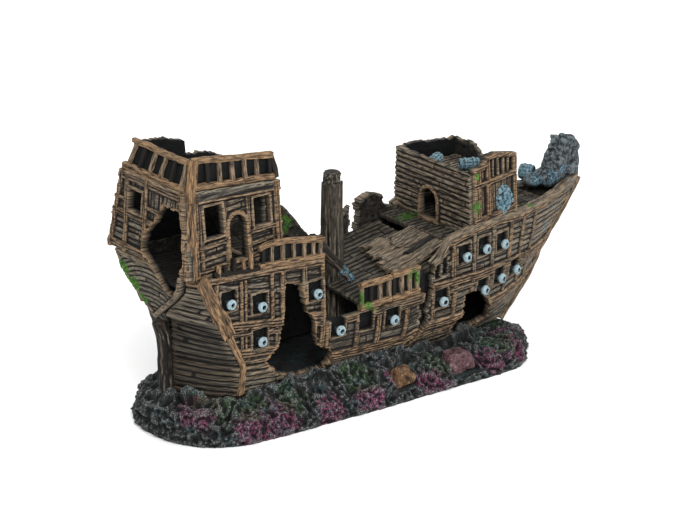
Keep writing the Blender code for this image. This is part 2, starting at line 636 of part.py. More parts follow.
def make_deck_gear():
    for number, (place, run) in enumerate(BARRELS, 1):
        shape = turned(BARREL_PROFILE, 14, pointing(place, run))
        add_object(f"deck_barrel_{number}", *shape, PATINA, smooth=True)
    cask = turned(CASK_PROFILE, 16, pointing(CASK_PLACE, CASK_RUN))
    add_object("encrusted_cask", *cask, PATINA, smooth=True)
    x, z = SHELL_PLACE
    slope = math.atan((half_breadth(x + 2, 75) - half_breadth(x - 2, 75)) / 4)
    out = Vector((-math.sin(slope), -math.cos(slope), -0.05))
    seat = Vector((x, -(half_breadth(x, 75) - 0.5 - CABIN_BATTER * (z - CABIN_FOOT)), z)) + out * 0.8
    frame = pointing(seat, out) @ Matrix.Diagonal((0.9, 1.3, 1, 1))
    add_object("encrusted_shell", *turned(SHELL_PROFILE, 18, frame), PATINA, smooth=True)
    spar = turned(SPAR_PROFILE, 10, pointing(SPAR_PLACE, SPAR_RUN))
    add_object("fallen_spar", *spar, WOOD_LIGHT, smooth=True)
    lantern = turned(LANTERN_PROFILE, 12, pointing(LANTERN_PLACE, (0, 0, 1)))
    add_object("quarter_lantern", *lantern, WOOD_LIGHT, smooth=True)


def rock_height(x, y, half):
    """Height of the rock outside the hull's shelf: steep at the rim, lumpy above."""
    edge = max(half - abs(y), 0.0)
    rise = along(ROCK_RISE, x) * (1 - math.exp(-edge / 5.0))
    lumps = 1.6 * math.sin(x * 0.21 + y * 0.37) + 1.3 * math.sin(x * 0.47 - y * 0.29 + 1.7)
    return max(rise + lumps * min(edge / 5.0, 1.0), 0.0)


def base_ring(x):
    """One crosswise slice of the base: a flat underside, rock at both sides and the shelf between."""
    widths = {-1: along(BASE_HALF, x), 1: along(BASE_HALF, x) * BASE_PORT_SHARE}
    ring = [(x, widths[-1 if k < 0 else 1] * k, 0) for k in (-1, -0.5, 0, 0.5, 1)]
    for side in (1, -1):
        half = widths[side]
        shelf = min(SHELF_HALF, half * 0.8)
        outside = [half - (half - shelf) * k for k in (0.03, 0.2, 0.4, 0.65, 0.88)]
        row = [(x, side * y, 0.8 + rock_height(x, y, half)) for y in outside]
        row.append((x, side * shelf, along(SHELF_LINE, x)))
        ring += row if side == 1 else row[::-1]
    return ring


def make_base():
    fore = (62, 68, 73, 77, 81, 84.5, 88)
    stations = np.concatenate((np.linspace(-146, -118, 8), np.linspace(-108, 57, 22), fore))
    rock = add_object("base_rock", *loft([base_ring(float(x)) for x in stations]), ROCK)
    axis = pointing((AIR_X, 0, AIR_Z), (0, 1, 0))
    add_cutter(rock, *turned(((-11, BORE_RADIUS), (60, BORE_RADIUS)), 24, axis))
    add_cutter(rock, *turned(((BUSH_Y[0] - GAP, BUSH_RADIUS + GAP), (60, BUSH_RADIUS + GAP)), 24, axis))
    add_cutter(rock, *box((AIR_X - 3.5, -9, AIR_Z), (AIR_X + 3.5, 9, 30)))
    seats = [box((x0 - GAP, y0 - 40, z0 - GAP), (x1 + GAP, y0 + GAP, 40)) for x0, x1, y0, z0 in STONE_SEATS]
    add_cutter(rock, *merged(seats))


def make_stones():
    for name, (x0, x1, y0, z0), top, depth in (("base_stone_brown", STONE_SEATS[0], 15, 9),
                                               ("base_stone_pink", STONE_SEATS[1], 14.5, 13)):
        rings = []
        for z, inset in ((z0, 0.5), (z0 + 3, 0), (top - 3, 1.2), (top, 3)):
            low, high = x0 + inset, x1 - inset
            near, far = y0 - depth + inset, y0 - inset * 0.5
            rings.append([(low + 2, near, z), (high - 2, near, z), (high, near + 2, z), (high, far, z),
                          (low, far, z), (low, near + 2, z)])
        add_object(name, *loft(rings), ROCK)


def sleeve(profile, sides, frame):
    """A turned ring with a hole right through it: profile pairs go round its section once."""
    points, faces = turned(profile, sides, frame)
    faces = faces[2:]
    last = (len(profile) - 1) * sides
    for k in range(sides):
        after = (k + 1) % sides
        faces.append((last + k, last + after, after, k))
    return points, faces


def make_air_cartridge():
    """The air stone, its tube, the plug that seats them in the base, and the barb for the air line."""
    axis = pointing((AIR_X, 0, AIR_Z), (0, 1, 0))
    stone = ((STONE_Y[0], 3.2), (STONE_Y[0] + 1.2, STONE_RADIUS), (STONE_Y[1] - 1.2, STONE_RADIUS),
             (STONE_Y[1], 3.0))
    add_object("air_stone", *turned(stone, 18, axis), CERAMIC, smooth=True)
    start, end = STONE_Y[1] + GAP, BUSH_Y[1] + 0.2
    tube = ((start, TUBE_BORE), (start, TUBE_RADIUS), (end, TUBE_RADIUS), (end, TUBE_BORE))
    add_object("air_tube", *sleeve(tube, 16, axis), PLASTIC, smooth=True)
    bush = ((BUSH_Y[0], TUBE_RADIUS + GAP), (BUSH_Y[0], BUSH_RADIUS), (BUSH_Y[1], BUSH_RADIUS),
            (BUSH_Y[1], TUBE_RADIUS + GAP))
    add_object("tube_bush", *sleeve(bush, 24, axis), RUBBER, smooth=True)
    low = end + GAP
    barb = ((low, 1.0), (low, 3.6), (low + 1.2, 3.6), (low + 1.2, 1.9), (low + 2.4, 1.9), (low + 2.4, 2.6),
            (low + 4.2, 2.0), (low + 4.2, 2.6), (low + 6.2, 1.8), (low + 6.2, 1.0))
    add_object("inlet_barb", *sleeve(barb, 16, axis), PLASTIC, smooth=True)


def build():
    clear_scene()
    make_base()
    make_stones()
    make_hull()
    make_guns()
    make_posts()
    make_transom()
    make_castle()
    make_decks()
    make_rails()
    make_forecastle()
    make_mast()
    make_figurehead()
    make_deck_gear()
    make_air_cartridge()


build()
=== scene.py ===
"""Looks of a sunken galleon aquarium ornament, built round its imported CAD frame.

Lengths are millimetres until a mesh is made. X runs from stern to bow, +Y is port and +Z is up.
"""
import math

import bpy
import numpy as np
from mathutils import Matrix, Vector


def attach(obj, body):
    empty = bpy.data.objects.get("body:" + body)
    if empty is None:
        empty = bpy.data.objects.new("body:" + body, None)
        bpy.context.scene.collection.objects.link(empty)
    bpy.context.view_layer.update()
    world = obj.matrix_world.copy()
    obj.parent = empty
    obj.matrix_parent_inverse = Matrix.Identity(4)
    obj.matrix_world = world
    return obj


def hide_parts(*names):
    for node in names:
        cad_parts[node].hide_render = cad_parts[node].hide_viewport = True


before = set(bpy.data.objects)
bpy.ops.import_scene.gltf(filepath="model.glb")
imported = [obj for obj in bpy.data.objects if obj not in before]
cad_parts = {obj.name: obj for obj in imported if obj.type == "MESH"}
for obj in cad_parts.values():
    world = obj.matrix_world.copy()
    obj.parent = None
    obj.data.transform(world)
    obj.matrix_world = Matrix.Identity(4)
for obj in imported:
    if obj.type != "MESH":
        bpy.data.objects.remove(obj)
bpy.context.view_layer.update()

MM = 0.001
STARBOARD = -1
PORT = 1
SIDES = ((STARBOARD, "starboard"), (PORT, "port"))
FORWARD = (1, 0, 0)
AFTWARD = (-1, 0, 0)
ACROSS = (0, 1, 0)
UPWARD = (0, 0, 1)
SHELL = "ornament"
CARTRIDGE = "air_cartridge"

# Hull lines, as in the CAD. MIDSHIP, STEM, TIMBER, TUCK and CRACK lines are (height, value);
# sheers, wales and the foot are (length, height). Outlines are points in a wall's own plane.
MIDSHIP_HALF = ((3, 6.0), (8, 14.0), (13, 21.0), (17, 24.5), (24, 29.0), (32, 32.0), (45, 33.5), (62, 33.5),
                (92, 32.5))
STEM_LINE = ((4, 85), (13, 94), (20, 101), (30, 108.5), (40, 115.5), (50, 123.5), (60, 132), (70, 140),
             (79, 144))
TIMBER_LINE = ((14, -112), (29, -113.7), (39.5, -114.5), (52, -121), (66, -127), (79, -134), (93, -140))
TUCK_HALF = ((24, 2.0), (61, 2.0), (64, 4.0), (69, 9.0), (75, 17.0), (82, 24.5), (92, 28.0))
TUCK_LINE = ((14, -132.8), (60, -133.6), (64, -138.1), (92, -141.7))
ENTRY_X = 17.0
ENTRY_POWER = 1.9
RUN_POWER = 1.6
STEM_HALF = 2.0
WALL = 3.6
GAP = 0.3
HULL_FOOT = ((-10, 16.5), (5, 12.3), (28, 7.1), (95, 4.7))
FOOT_Z = 10.0
STERN_END = -60.5
STERN_SHEER = ((-141, 90.5), (-60, 84.0))
MID_SHEER = ((-60, 49.0), (8, 49.0))
BOW_SHEER = ((10, 62), (17, 66), (23, 74), (43, 76.5), (62, 76.5), (81, 74), (100, 73.7), (117, 73.7),
             (144, 77))
PORT_STERN_SHEER = ((-141, 90.5), (-60, 90.0))
PORT_MID_SHEER = ((-60, 90), (-38, 90), (-28, 79), (-19, 68), (-10, 66), (3, 73.6), (8, 79.5))
PORT_BOW_SHEER = ((10, 81), (17.5, 84), (26, 81.5), (29.5, 75), (36, 73.2), (42, 76.4), (62, 76.4), (81, 74),
                  (100, 73.7), (117, 73.7), (144, 77))
CRACK_LINE = ((16, -7), (21, -1), (30, 6), (42, 6), (52, 8.5), (70, 9.5), (85, 10))
STARBOARD_BREACH = ((-75, 73), (-72, 58.5), (-67, 53), (-66, 41), (-63, 36), (-55.5, 33.5), (-54.2, 29),
                    (-57, 21), (-73, 21), (-87, 27), (-98, 37), (-89, 45.5), (-88, 54), (-86, 63), (-85, 76))
BOW_BREACH = ((38, 40.5), (51, 39.5), (55, 33), (64, 24), (68, 14), (52, 11), (34, 10.5), (33, 24), (36, 28))
PORT_BREACH = ((-106, 41), (-92, 44), (-80, 37), (-84, 27), (-96, 25), (-108, 31))
STARBOARD_GUNS = ((-120.7, 74.4), (-101.6, 68.6), (-66.4, 66.9), (-102, 50.1), (-52, 43.4), (-15.8, 40.1),
                  (17.5, 42.1), (33.8, 62.9), (49.1, 63.2), (64.4, 61.5), (49.5, 39.4), (64.4, 41.4),
                  (79.8, 41.2))
EMPTY_PORTS = ((-33.4, 42.4),)
PORT_GUNS = ((-120.7, 74.4), (-101.6, 68.6), (-66.4, 66.9), (-102, 50.1), (-52, 43.4), (17.5, 42.1),
             (33.8, 62.9), (49.1, 63.2), (64.4, 61.5), (64.4, 41.4), (79.8, 41.2))
BOW_SLITS = ((15.1, 3.3, 55, 63), (20.2, 3.3, 56, 65.5))
PORT_RISE = 1.3
PORT_HALF = (4.5, 5.0)
PORT_DEPTH = 2.2
GUN_REACH = 4.4
MAIN_WALE = ((-126, 64), (-120, 62), (-88, 57), (-54, 53.4), (-11, 49.3), (11, 50.9), (31, 50.4), (59, 48.8),
             (80, 47.4), (96, 45.6), (130, 44))
LOW_WALE = ((-118, 47), (-113, 46), (-86, 42), (-54, 28.7), (-4, 25), (10, 29.3), (34, 28.5), (94, 28.6),
            (112, 30))

TRANSOM_X = -145.4
TRANSOM_THICK = 3.0
WING_Z = 92.0
TRANSOM_RAKE = 0.086
COUNTER_RAKE = -0.128
RAIL_RAKE = 0.42
TRANSOM_TOP = 134.0
TRANSOM_OUTLINE = ((-34.5, 92.3), (-26.3, TRANSOM_TOP), (26.3, TRANSOM_TOP), (34.5, 92.3))
COUNTER_OUTLINE = ((0, 61.8), (-9, 69), (-17, 75), (-24.5, 82), (-28, 92), (28, 92), (24.5, 82), (17, 75),
                   (9, 69))
STERN_HOLE = ((-10.5, 124.5), (-5, 114.4), (2, 107.5), (4.5, 98), (-3, 92.5), (-9, 85), (-13, 80), (-19, 80),
              (-22, 84), (-26, 92), (-29.5, 99), (-28, 112), (-25, 124))
STERN_WINDOW = ((6.5, 115), (6.5, 126), (17, 126), (17.5, 115))
TRANSOM_BEAMS = ((95.5, 1.6), (112.5, 1.6), (119.5, 1.0), (131.6, 2.2))     # (height, half width)
WINDOW_FRAME = ((6.5, 115), (17.2, 126))
TRANSOM_POSTS = (-31.5, 3.5, 19.5, 31.5)
POOP_TOP = 148.9
CASTLE_FORE = -84.0
CASTLE_HALF = ((85, 31.2), (134, 26.3), (150, 24.7))
CASTLE_TOP = ((-138, 134), (-84, 129.4))
CASTLE_FRIEZE = ((-138, 128.2), (-84, 125.0))
CASTLE_POSTS = ((-118.4, 1.2), (-104.2, 1.2), (-89.2, 1.0), (-133.4, 1.4))
CASTLE_BEAMS = ((106.3, 1.3), (94.5, 1.3), (100.4, 0.9))
CASTLE_WINDOWS = (((-131, 109), (-120, 125)), ((-101, 109), (-91, 123.5)))
CASTLE_DOOR = (-111.4, 10.5, 95, 117.5)                 # centre, width, foot, top
PORT_WINDOWS = (((-132, 109), (-121, 124)), ((-110, 109), (-100, 124)))
POOP_RAIL_TOP = ((-133, 149.6), (-86, 143.4))
PORT_CASTLE_TOP = ((-137, 148), (-121, 146.5), (-105, 142.5), (-104, 134.5), (-91.5, 133), (-79, 128),
                   (-68, 118), (-61, 99))
QUARTERDECK_TOP = ((-141, 85), (-61, 80.5))
MAST_X = -28.6
MAST_TOP = 115.0
SHELF_TOP = 16.2
MAIN_DECK_TOP = ((-36, 56), (26, 65))
DECK_TILT = 0.09
FOREDECK_TOP = 71.5
CABIN_FOOT = 77.0
CABIN_BATTER = 0.05
CABIN_AFT = 41.9
CABIN_FORE = 77.0
ROOF_Z = 97.0
CABIN_WALL = 3.0
PORT_CABIN_TOP = ((CABIN_AFT, 106), (50, 107.4), (61, 106.2), (75, 105.8))
FORECASTLE_AFT = ((-27, 72), (-27, 77), (-31, 77), (-29.5, 105), (29.5, 107), (31, 77), (27, 77), (27, 72))
FORECASTLE_FORE = ((0, 72), (20, 72), (20, 77), (24.5, 77), (24, 105.5), (9, 106), (1, 101), (-3, 88))
FORECASTLE_DOOR = (2, 13, 73.5, 90)                     # centre, width, foot, top
GRILLE_TOP = ((41.9, 107.5), (50, 109), (54, 113), (60, 113.2), (77, 109))
AIR_X = -20.0
AIR_Z = 8.4
BORE_END = -13.0
CHIMNEY_HALF = (3.5, 9.0)
CREASE = math.radians(50)
FAR = 9.0                 # a distance clear of any edge
# The last of these layers holds painted shade.
HEIGHT, TONE, TINT, SHADE_LAYER = range(4)     # the layers of a relief
STEP = 0.5                # spacing of the relief grids
FINE_STEP = 0.42

# Specular levels of painted resin and of plastic.
MATT = 0.14
GLOSSY = 0.5

# Paint colours, linear.
WOOD_BLACK = (0.0090, 0.0082, 0.0072)
WOOD_DARK = (0.027, 0.023, 0.0185)
WOOD_GREY = (0.068, 0.062, 0.051)
WOOD_TAN = (0.140, 0.121, 0.092)
RUST = (0.074, 0.042, 0.021)
ORANGE = (0.185, 0.110, 0.058)
EDGE_TAN = (0.190, 0.170, 0.128)
EDGE_ORANGE = (0.290, 0.178, 0.092)
WASH = (0.0045, 0.0043, 0.0042)
# Near-black painted shade, for hollow insides, recesses, bores and the run under the counter.
SHADE_BLACK = (0.003, 0.0032, 0.0036)
MOSS_DARK = (0.010, 0.030, 0.008)
MOSS = (0.034, 0.095, 0.014)
MOSS_LIGHT = (0.115, 0.230, 0.040)
BLUE_DARK = (0.025, 0.070, 0.110)
BLUE = (0.052, 0.115, 0.155)
BLUE_PALE = (0.165, 0.270, 0.315)
PLUM = (0.060, 0.014, 0.040)
PINK = (0.300, 0.060, 0.150)
TEAL = (0.028, 0.060, 0.066)

# Growths on the surface: (x, y, z, radius).
MOSS_SPOTS = ((-145, 22, 84, 8), (-144, 16, 76, 8), (-142, 9, 68, 7), (0, -33, 60, 7), (-38, -33, 56, 7),
              (-31, -32, 50, 5), (44, -33, 88, 6), (44, -33, 104, 4), (57, -31, 108, 4), (106, -20, 30, 7),
              (100, -22, 40, 5), (34, 15, 74, 9), (-68, 28, 104, 7), (-64, 28, 98, 7), (90, -20, 76, 4),
              (-35, 26, 80, 9), (-110, 34, 60, 9), (40, 33, 40, 9), (-132, 22, 98, 7), (-60, 33, 44, 8),
              (118, 10, 60, 7))
PATINA_SPOTS = ((130, -3, 84, 8), (122, -4, 80, 8), (115, 0, 78, 7), (66, -29, 86, 8), (50, 12, 100, 4),
                (62, -4, 100, 4), (-38, -22, 69, 6), (-34, -23, 64, 6), (99.5, -15.4, 52.8, 5),
                (113.6, -9.6, 55, 5), (118.4, -10.6, 64.5, 4), (134, -4, 74, 7), (112, 14, 74, 7),
                (-84, -30, 74, 4))
PINK_SPOTS = ((-132, -22, 16, 13), (-96, -42, 7, 15), (-66, -46, 7, 12), (-112, -38, 7, 12),
              (0, -50, 5, 13), (78, -22, 8, 15), (60, -42, 6, 11), (-40, -48, 8, 11), (40, -48, 8, 11),
              (-20, -42, 12, 7), (30, 40, 9, 13), (-80, 38, 9, 14))
GREEN_SPOTS = ((-122, -22, 20, 15), (-108, -32, 14, 11), (-40, -36, 15, 12), (52, -38, 12, 13),
               (-84, -36, 16, 11), (84, -8, 6, 12), (10, -42, 12, 12), (-60, 36, 12, 12), (60, 34, 10, 12))


# ---- numbers -------------------------------------------------------------------------------------

def along(table, value):
    """Read a line table at lengths or heights."""
    keys, values = zip(*table)
    return np.interp(value, keys, values)


def chance(*keys):
    """A repeatable value from 0 to 1 for whole numbers."""
    mixed = np.zeros(np.broadcast(*keys).shape, np.int64) + 374761393
    for key in keys:
        mixed = (mixed ^ (np.asarray(key).astype(np.int64) * 668265263)) & 0xFFFFFFFF
        mixed = ((mixed ^ (mixed >> 15)) * 2246822519) & 0xFFFFFFFF
        mixed = ((mixed ^ (mixed >> 13)) * 3266489917) & 0xFFFFFFFF
    return ((mixed ^ (mixed >> 16)) & 0xFFFF) / 65535.0


def noise(points, size, seed=0):
    """Smooth noise from -1 to 1 at (..., 3) points, with lumps about size across."""
    scaled = points / np.asarray(size, float)
    cell = np.floor(scaled)
    part = scaled - cell
    part = part * part * (3 - 2 * part)
    total = np.zeros(scaled.shape[:-1])
    for dx in (0, 1):
        for dy in (0, 1):
            for dz in (0, 1):
                weight = (np.where(dx, part[..., 0], 1 - part[..., 0])
                          * np.where(dy, part[..., 1], 1 - part[..., 1])
                          * np.where(dz, part[..., 2], 1 - part[..., 2]))
                total += weight * chance(cell[..., 0] + dx, cell[..., 1] + dy, cell[..., 2] + dz, seed)
    return total * 2 - 1


def rough(points, size, octaves, seed=0):
    """Layered noise: each layer is half as large and half as deep."""
    total = np.zeros(points.shape[:-1])
    for layer in range(octaves):
        total += noise(points, np.asarray(size, float) / 2 ** layer, seed + 11 * layer) / 2 ** layer
    return total


def flat_points(u, v, at=0.0):
    """Points with a constant third coordinate, for sampling noise on a surface."""
    return np.stack((u, v, np.full(np.shape(u), float(at))), -1)


def soft(value, low, high):
    """0 below low, 1 above high and smooth between."""
    part = np.clip((value - low) / (high - low), 0, 1)
    return part * part * (3 - 2 * part)


def outside(u, v, outline):
    """Signed distance to an outline: positive outside it, negative inside."""
    best = np.full(np.shape(u), 1e9)
    inside = np.zeros(np.shape(u), bool)
    for (ax, ay), (bx, by) in zip(outline, outline[1:] + outline[:1]):
        run_x, run_y = bx - ax, by - ay
        part = np.clip(((u - ax) * run_x + (v - ay) * run_y) / (run_x ** 2 + run_y ** 2), 0, 1)
        best = np.minimum(best, np.hypot(u - ax - part * run_x, v - ay - part * run_y))
        if run_y:
            inside ^= ((ay > v) != (by > v)) & (u < run_x * (v - ay) / run_y + ax)
    return np.where(inside, -best, best)


def boxed(u, v, low, high):
    """Signed distance to an upright rectangle."""
    across = np.abs(u - (low[0] + high[0]) / 2) - (high[0] - low[0]) / 2
    up = np.abs(v - (low[1] + high[1]) / 2) - (high[1] - low[1]) / 2
    return np.maximum(across, up)


def arched(u, v, centre, width, foot, top):
    """Signed distance to a door opening with a round head."""
    half = width / 2
    spring = top - half
    head = np.hypot(u - centre, np.maximum(v - spring, 0)) - half
    return np.maximum(head, foot - v)


# ---- meshes --------------------------------------------------------------------------------------

def part_of(points, quads, flow, caps=(), tone=0.5, trim=0.0, gloom=0.0):
    """A closed mesh with what its material needs at each point: grain direction, tone, trim and painted
    shade.
    """
    count = len(points)
    fill = {"tone": tone, "trim": trim, "gloom": gloom}
    made = {key: np.broadcast_to(np.asarray(value, float), (count,)).copy() for key, value in fill.items()}
    made.update(points=np.asarray(points, float), quads=np.asarray(quads, np.int64),
                flow=np.asarray(flow, float), caps=[list(cap) for cap in caps])
    return made


def joined(parts):
    """Several parts as one."""
    shift, quads, caps = 0, [], []
    for part in parts:
        quads.append(part["quads"] + shift)
        caps += [[k + shift for k in cap] for cap in part["caps"]]
        shift += len(part["points"])
    made = {key: np.concatenate([part[key] for part in parts])
            for key in ("points", "flow", "tone", "trim", "gloom")}
    made.update(quads=np.concatenate(quads), caps=caps)
    return made


def sleeve(rows, around):
    """Quads between rings of points, and the first and last ring."""
    index = np.arange(rows * around).reshape(rows, around)
    after = np.roll(index, -1, axis=1)
    quads = np.stack((index[:-1], after[:-1], after[1:], index[1:]), -1).reshape(-1, 4)
    return quads, list(index[0]), list(index[-1])


def turned_out(part):
    """Reverse the faces of a part whose faces point inwards."""
    points, quads = part["points"], part["quads"]
    a, b, c, d = (points[quads[:, k]] for k in range(4))
    volume = np.einsum("ij,ij->", a, np.cross(b, c)) + np.einsum("ij,ij->", a, np.cross(c, d))
    for cap in part["caps"]:
        for k in range(1, len(cap) - 1):
            volume += points[cap[0]] @ np.cross(points[cap[k]], points[cap[k + 1]])
    if volume < 0:
        part["quads"] = quads[:, ::-1]
        part["caps"] = [cap[::-1] for cap in part["caps"]]
    return part


def point_normals(points, quads):
    """Unit normals at the points of a quad mesh."""
    across = np.cross(points[quads[:, 2]] - points[quads[:, 0]], points[quads[:, 3]] - points[quads[:, 1]])
    total = np.zeros_like(points)
    for k in range(4):
        for axis in range(3):
            total[:, axis] += np.bincount(quads[:, k], across[:, axis], len(points))
    return total / np.maximum(np.linalg.norm(total, axis=1, keepdims=True), 1e-12)


def evened(points, quads, rounds):
    """Points moved to the mean of their neighbours, rounds times."""
    start, end, size = quads.ravel(), np.roll(quads, -1, axis=1).ravel(), len(points)
    count = np.maximum(np.bincount(start, minlength=size) + np.bincount(end, minlength=size), 1)
    for _ in range(rounds):
        total = [np.bincount(start, points[end, k], size) + np.bincount(end, points[start, k], size)
                 for k in range(3)]
        points = np.stack(total, 1) / count[:, None]
    return points


def ridges(points, quads, rounds=6, depth=0.22):
    """1 on ridges and edges, -1 in seams and pits."""
    normals = point_normals(points, quads)
    height = np.einsum("ij,ij->i", points - evened(points, quads, rounds), normals)
    return np.clip(height / depth, -1, 1)


def covered(points, spots, seed):
    """How strongly ragged patches round the spots cover each point."""
    cover = np.zeros(len(points))
    for x, y, z, radius in spots:
        cover = np.maximum(cover, 1 - np.linalg.norm(points - (x, y, z), axis=1) / radius)
    near = cover > 0
    cover[near] = np.clip(cover[near] * 1.7 + 0.55 * rough(points[near], 4.0, 3, seed), 0, 1)
    return cover


def add_piece(name, part, finish, body=SHELL, depth=0.22, rounds=6):
    """Make the mesh object of a part, paint it, and tie it to the frame."""
    slot, material = finish
    part = turned_out(part)
    points, quads = part["points"], part["quads"]
    mesh = bpy.data.meshes.new(name)
    mesh.vertices.add(len(points))
    mesh.vertices.foreach_set("co", (points * MM).astype(np.float32).ravel())
    loops = np.concatenate([quads.ravel()] + [np.asarray(cap) for cap in part["caps"]]).astype(np.int32)
    sizes = np.concatenate((np.full(len(quads), 4), [len(cap) for cap in part["caps"]])).astype(np.int64)
    mesh.loops.add(len(loops))
    mesh.loops.foreach_set("vertex_index", loops)
    mesh.polygons.add(len(sizes))
    mesh.polygons.foreach_set("loop_start", (np.cumsum(sizes) - sizes).astype(np.int32))
    mesh.update(calc_edges=True)
    mesh.validate()
    layers = {"relief": ridges(points, quads, rounds, depth), "tone": part["tone"], "trim": part["trim"],
              "gloom": part["gloom"]}
    layers["moss"] = covered(points, MOSS_SPOTS, 5)
    layers["patina"] = covered(points, PATINA_SPOTS, 9)
    if finish == ROCK:
        layers["pink"] = covered(points, PINK_SPOTS, 21)
        layers["green"] = covered(points, GREEN_SPOTS, 33)
    for key, values in layers.items():
        mesh.attributes.new(key, "FLOAT", "POINT").data.foreach_set("value", values.astype(np.float32))
    flow = np.column_stack((part["flow"], np.zeros(len(points)))).astype(np.float32) * MM
    mesh.attributes.new("flow", "FLOAT_VECTOR", "POINT").data.foreach_set("vector", flow.ravel())
    mesh.shade_smooth()
    mesh.set_sharp_from_angle(angle=CREASE)
    piece = bpy.data.objects.new(name, mesh)
    bpy.context.scene.collection.objects.link(piece)
    mesh.materials.append(material)
    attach(piece, body)
    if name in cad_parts:
        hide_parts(name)


def slab(outer, inner, keep):
    """Quads of a closed wall between two grids, over the kept cells."""
    rows, columns = outer.shape[:2]
    index = np.arange(rows * columns).reshape(rows, columns)
    cells = np.stack((index[:-1, :-1], index[1:, :-1], index[1:, 1:], index[:-1, 1:]), -1)
    back = rows * columns
    quads = [cells[keep], cells[keep][:, ::-1] + back]
    around = np.pad(keep, 1)
    for side, (dr, dc) in enumerate(((0, -1), (1, 0), (0, 1), (-1, 0))):
        edge = cells[keep & ~around[1 + dr:rows + dr, 1 + dc:columns + dc]]
        a, b = edge[:, side], edge[:, (side + 1) % 4]
        quads.append(np.stack((b, a, a + back, b + back), -1))
    quads = np.concatenate(quads)
    points = np.concatenate((outer.reshape(-1, 3), inner.reshape(-1, 3)))
    used, quads = np.unique(quads, return_inverse=True)
    return points[used], quads.reshape(-1, 4), used


def snapped(u, v, solid, keep):
    """Slide the grid points on the border of the kept cells onto the edge of the solid."""
    around = np.pad(keep.astype(int), 1)
    touch = around[1:, 1:] + around[:-1, 1:] + around[1:, :-1] + around[:-1, :-1]
    cells = np.pad(np.ones(keep.shape, int), 1)
    full = cells[1:, 1:] + cells[:-1, 1:] + cells[1:, :-1] + cells[:-1, :-1]
    border = (touch > 0) & (touch < full)
    tiny = 0.05
    room = solid(u, v)
    slope_u = (solid(u + tiny, v) - solid(u - tiny, v)) / (2 * tiny)
    slope_v = (solid(u, v + tiny) - solid(u, v - tiny)) / (2 * tiny)
    steep = np.maximum(slope_u ** 2 + slope_v ** 2, 0.3)
    move = np.where(border, np.clip(-room, -STEP, STEP), 0) / steep
    return u + move * slope_u, v + move * slope_v


def panel(u, v, place, face, thick, relief, solid=None, seed=0, back_gloom=1.0):
    """A wall whose outer side carries relief. place(u, v) gives its plain outer side, face its facing."""
    keep = np.ones((u.shape[0] - 1, u.shape[1] - 1), bool)
    if solid:
        room = solid(u, v)
        keep = (room[1:, 1:] + room[:-1, 1:] + room[1:, :-1] + room[:-1, :-1]) > 0
        u, v = snapped(u, v, solid, keep)
    plain = place(u, v)
    normal = np.cross(np.gradient(plain, axis=0), np.gradient(plain, axis=1))
    normal /= np.maximum(np.linalg.norm(normal, axis=-1, keepdims=True), 1e-9)
    normal *= np.sign(normal @ np.asarray(face, float))[..., None]
    height, tone, trim, gloom = relief(u, v)
    outer = plain + normal * height[..., None]
    back = thick + 0.25 * rough(plain, 3.0, 2, seed + 70)
    inner = plain - normal * np.maximum(back, height * 0 + 0.8)[..., None]
    points, quads, used = slab(outer, inner, keep)
    flow = np.stack((u, v), -1).reshape(-1, 2)
    flow = np.concatenate((flow, flow))[used]
    # The inner side carries painted shade, as much as the back argument gives.
    both = [np.concatenate([np.broadcast_to(side, u.shape).ravel() for side in (layer, other)])[used]
            for layer, other in ((tone, 0.4), (trim, 0.0), (gloom, back_gloom))]
    return part_of(points, quads, flow, tone=both[0], trim=both[1], gloom=both[2])


def add_panel(name, u, v, place, face, thick, relief, **more):
    """Make a timber panel and add it to the scene."""
    add_piece(name, panel(u, v, place, face, thick, relief, **more), TIMBER)


def upright(side, half):
    """Places on a side wall: half(x, z) is its distance from the centre plane."""
    return lambda x, z: np.stack((x, side * half(x, z), z), -1)


def crosswise(x):
    """Places on a wall across the ship."""
    return lambda y, z: np.stack((np.full(y.shape, x), y, z), -1)


def grid(low, high, step=STEP):
    """Grid of (u, v) over a rectangle."""
    u = np.linspace(low[0], high[0], max(int(round((high[0] - low[0]) / step)), 2) + 1)
    v = np.linspace(low[1], high[1], max(int(round((high[1] - low[1]) / step)), 2) + 1)
    return np.meshgrid(u, v, indexing="ij")


def planks(along_run, across, width, seed, butt=64.0, seam=0.55):
    """Relief and tone of planks: seams, butt joints, a little unevenness and grain."""
    row = np.floor(across / width)
    place = (across / width - row) * width
    gap = np.minimum(place, width - place)
    shifted = along_run / butt + chance(row, seed) * 7
    board = np.floor(shifted)
    end = np.minimum(shifted - board, 1 - shifted + board) * butt
    step_up = (chance(row, board, seed + 1) - 0.5) * 0.5
    height = step_up - seam * np.exp(-(gap / 0.46) ** 2) - 0.6 * np.exp(-(end / 0.45) ** 2)
    sample = np.stack((along_run, across, np.zeros(np.shape(across)) + seed), -1)
    height = height + 0.16 * noise(sample, (7, 0.9, 9), seed + 3)
    height = height + 0.10 * noise(sample, (3, 0.6, 9), seed + 4)
    height = height - 0.35 * soft(noise(sample, (9, 0.7, 9), seed + 6), 0.55, 0.8)
    return height, chance(row, board, seed + 2)


def planked(run, across, width, seed, trim, **kind):
    """Planks as relief layers: height, tone, trim and gloom."""
    height, tone = planks(run, across, width, seed, **kind)
    return [height, tone, np.full(height.shape, trim), np.zeros(height.shape)]


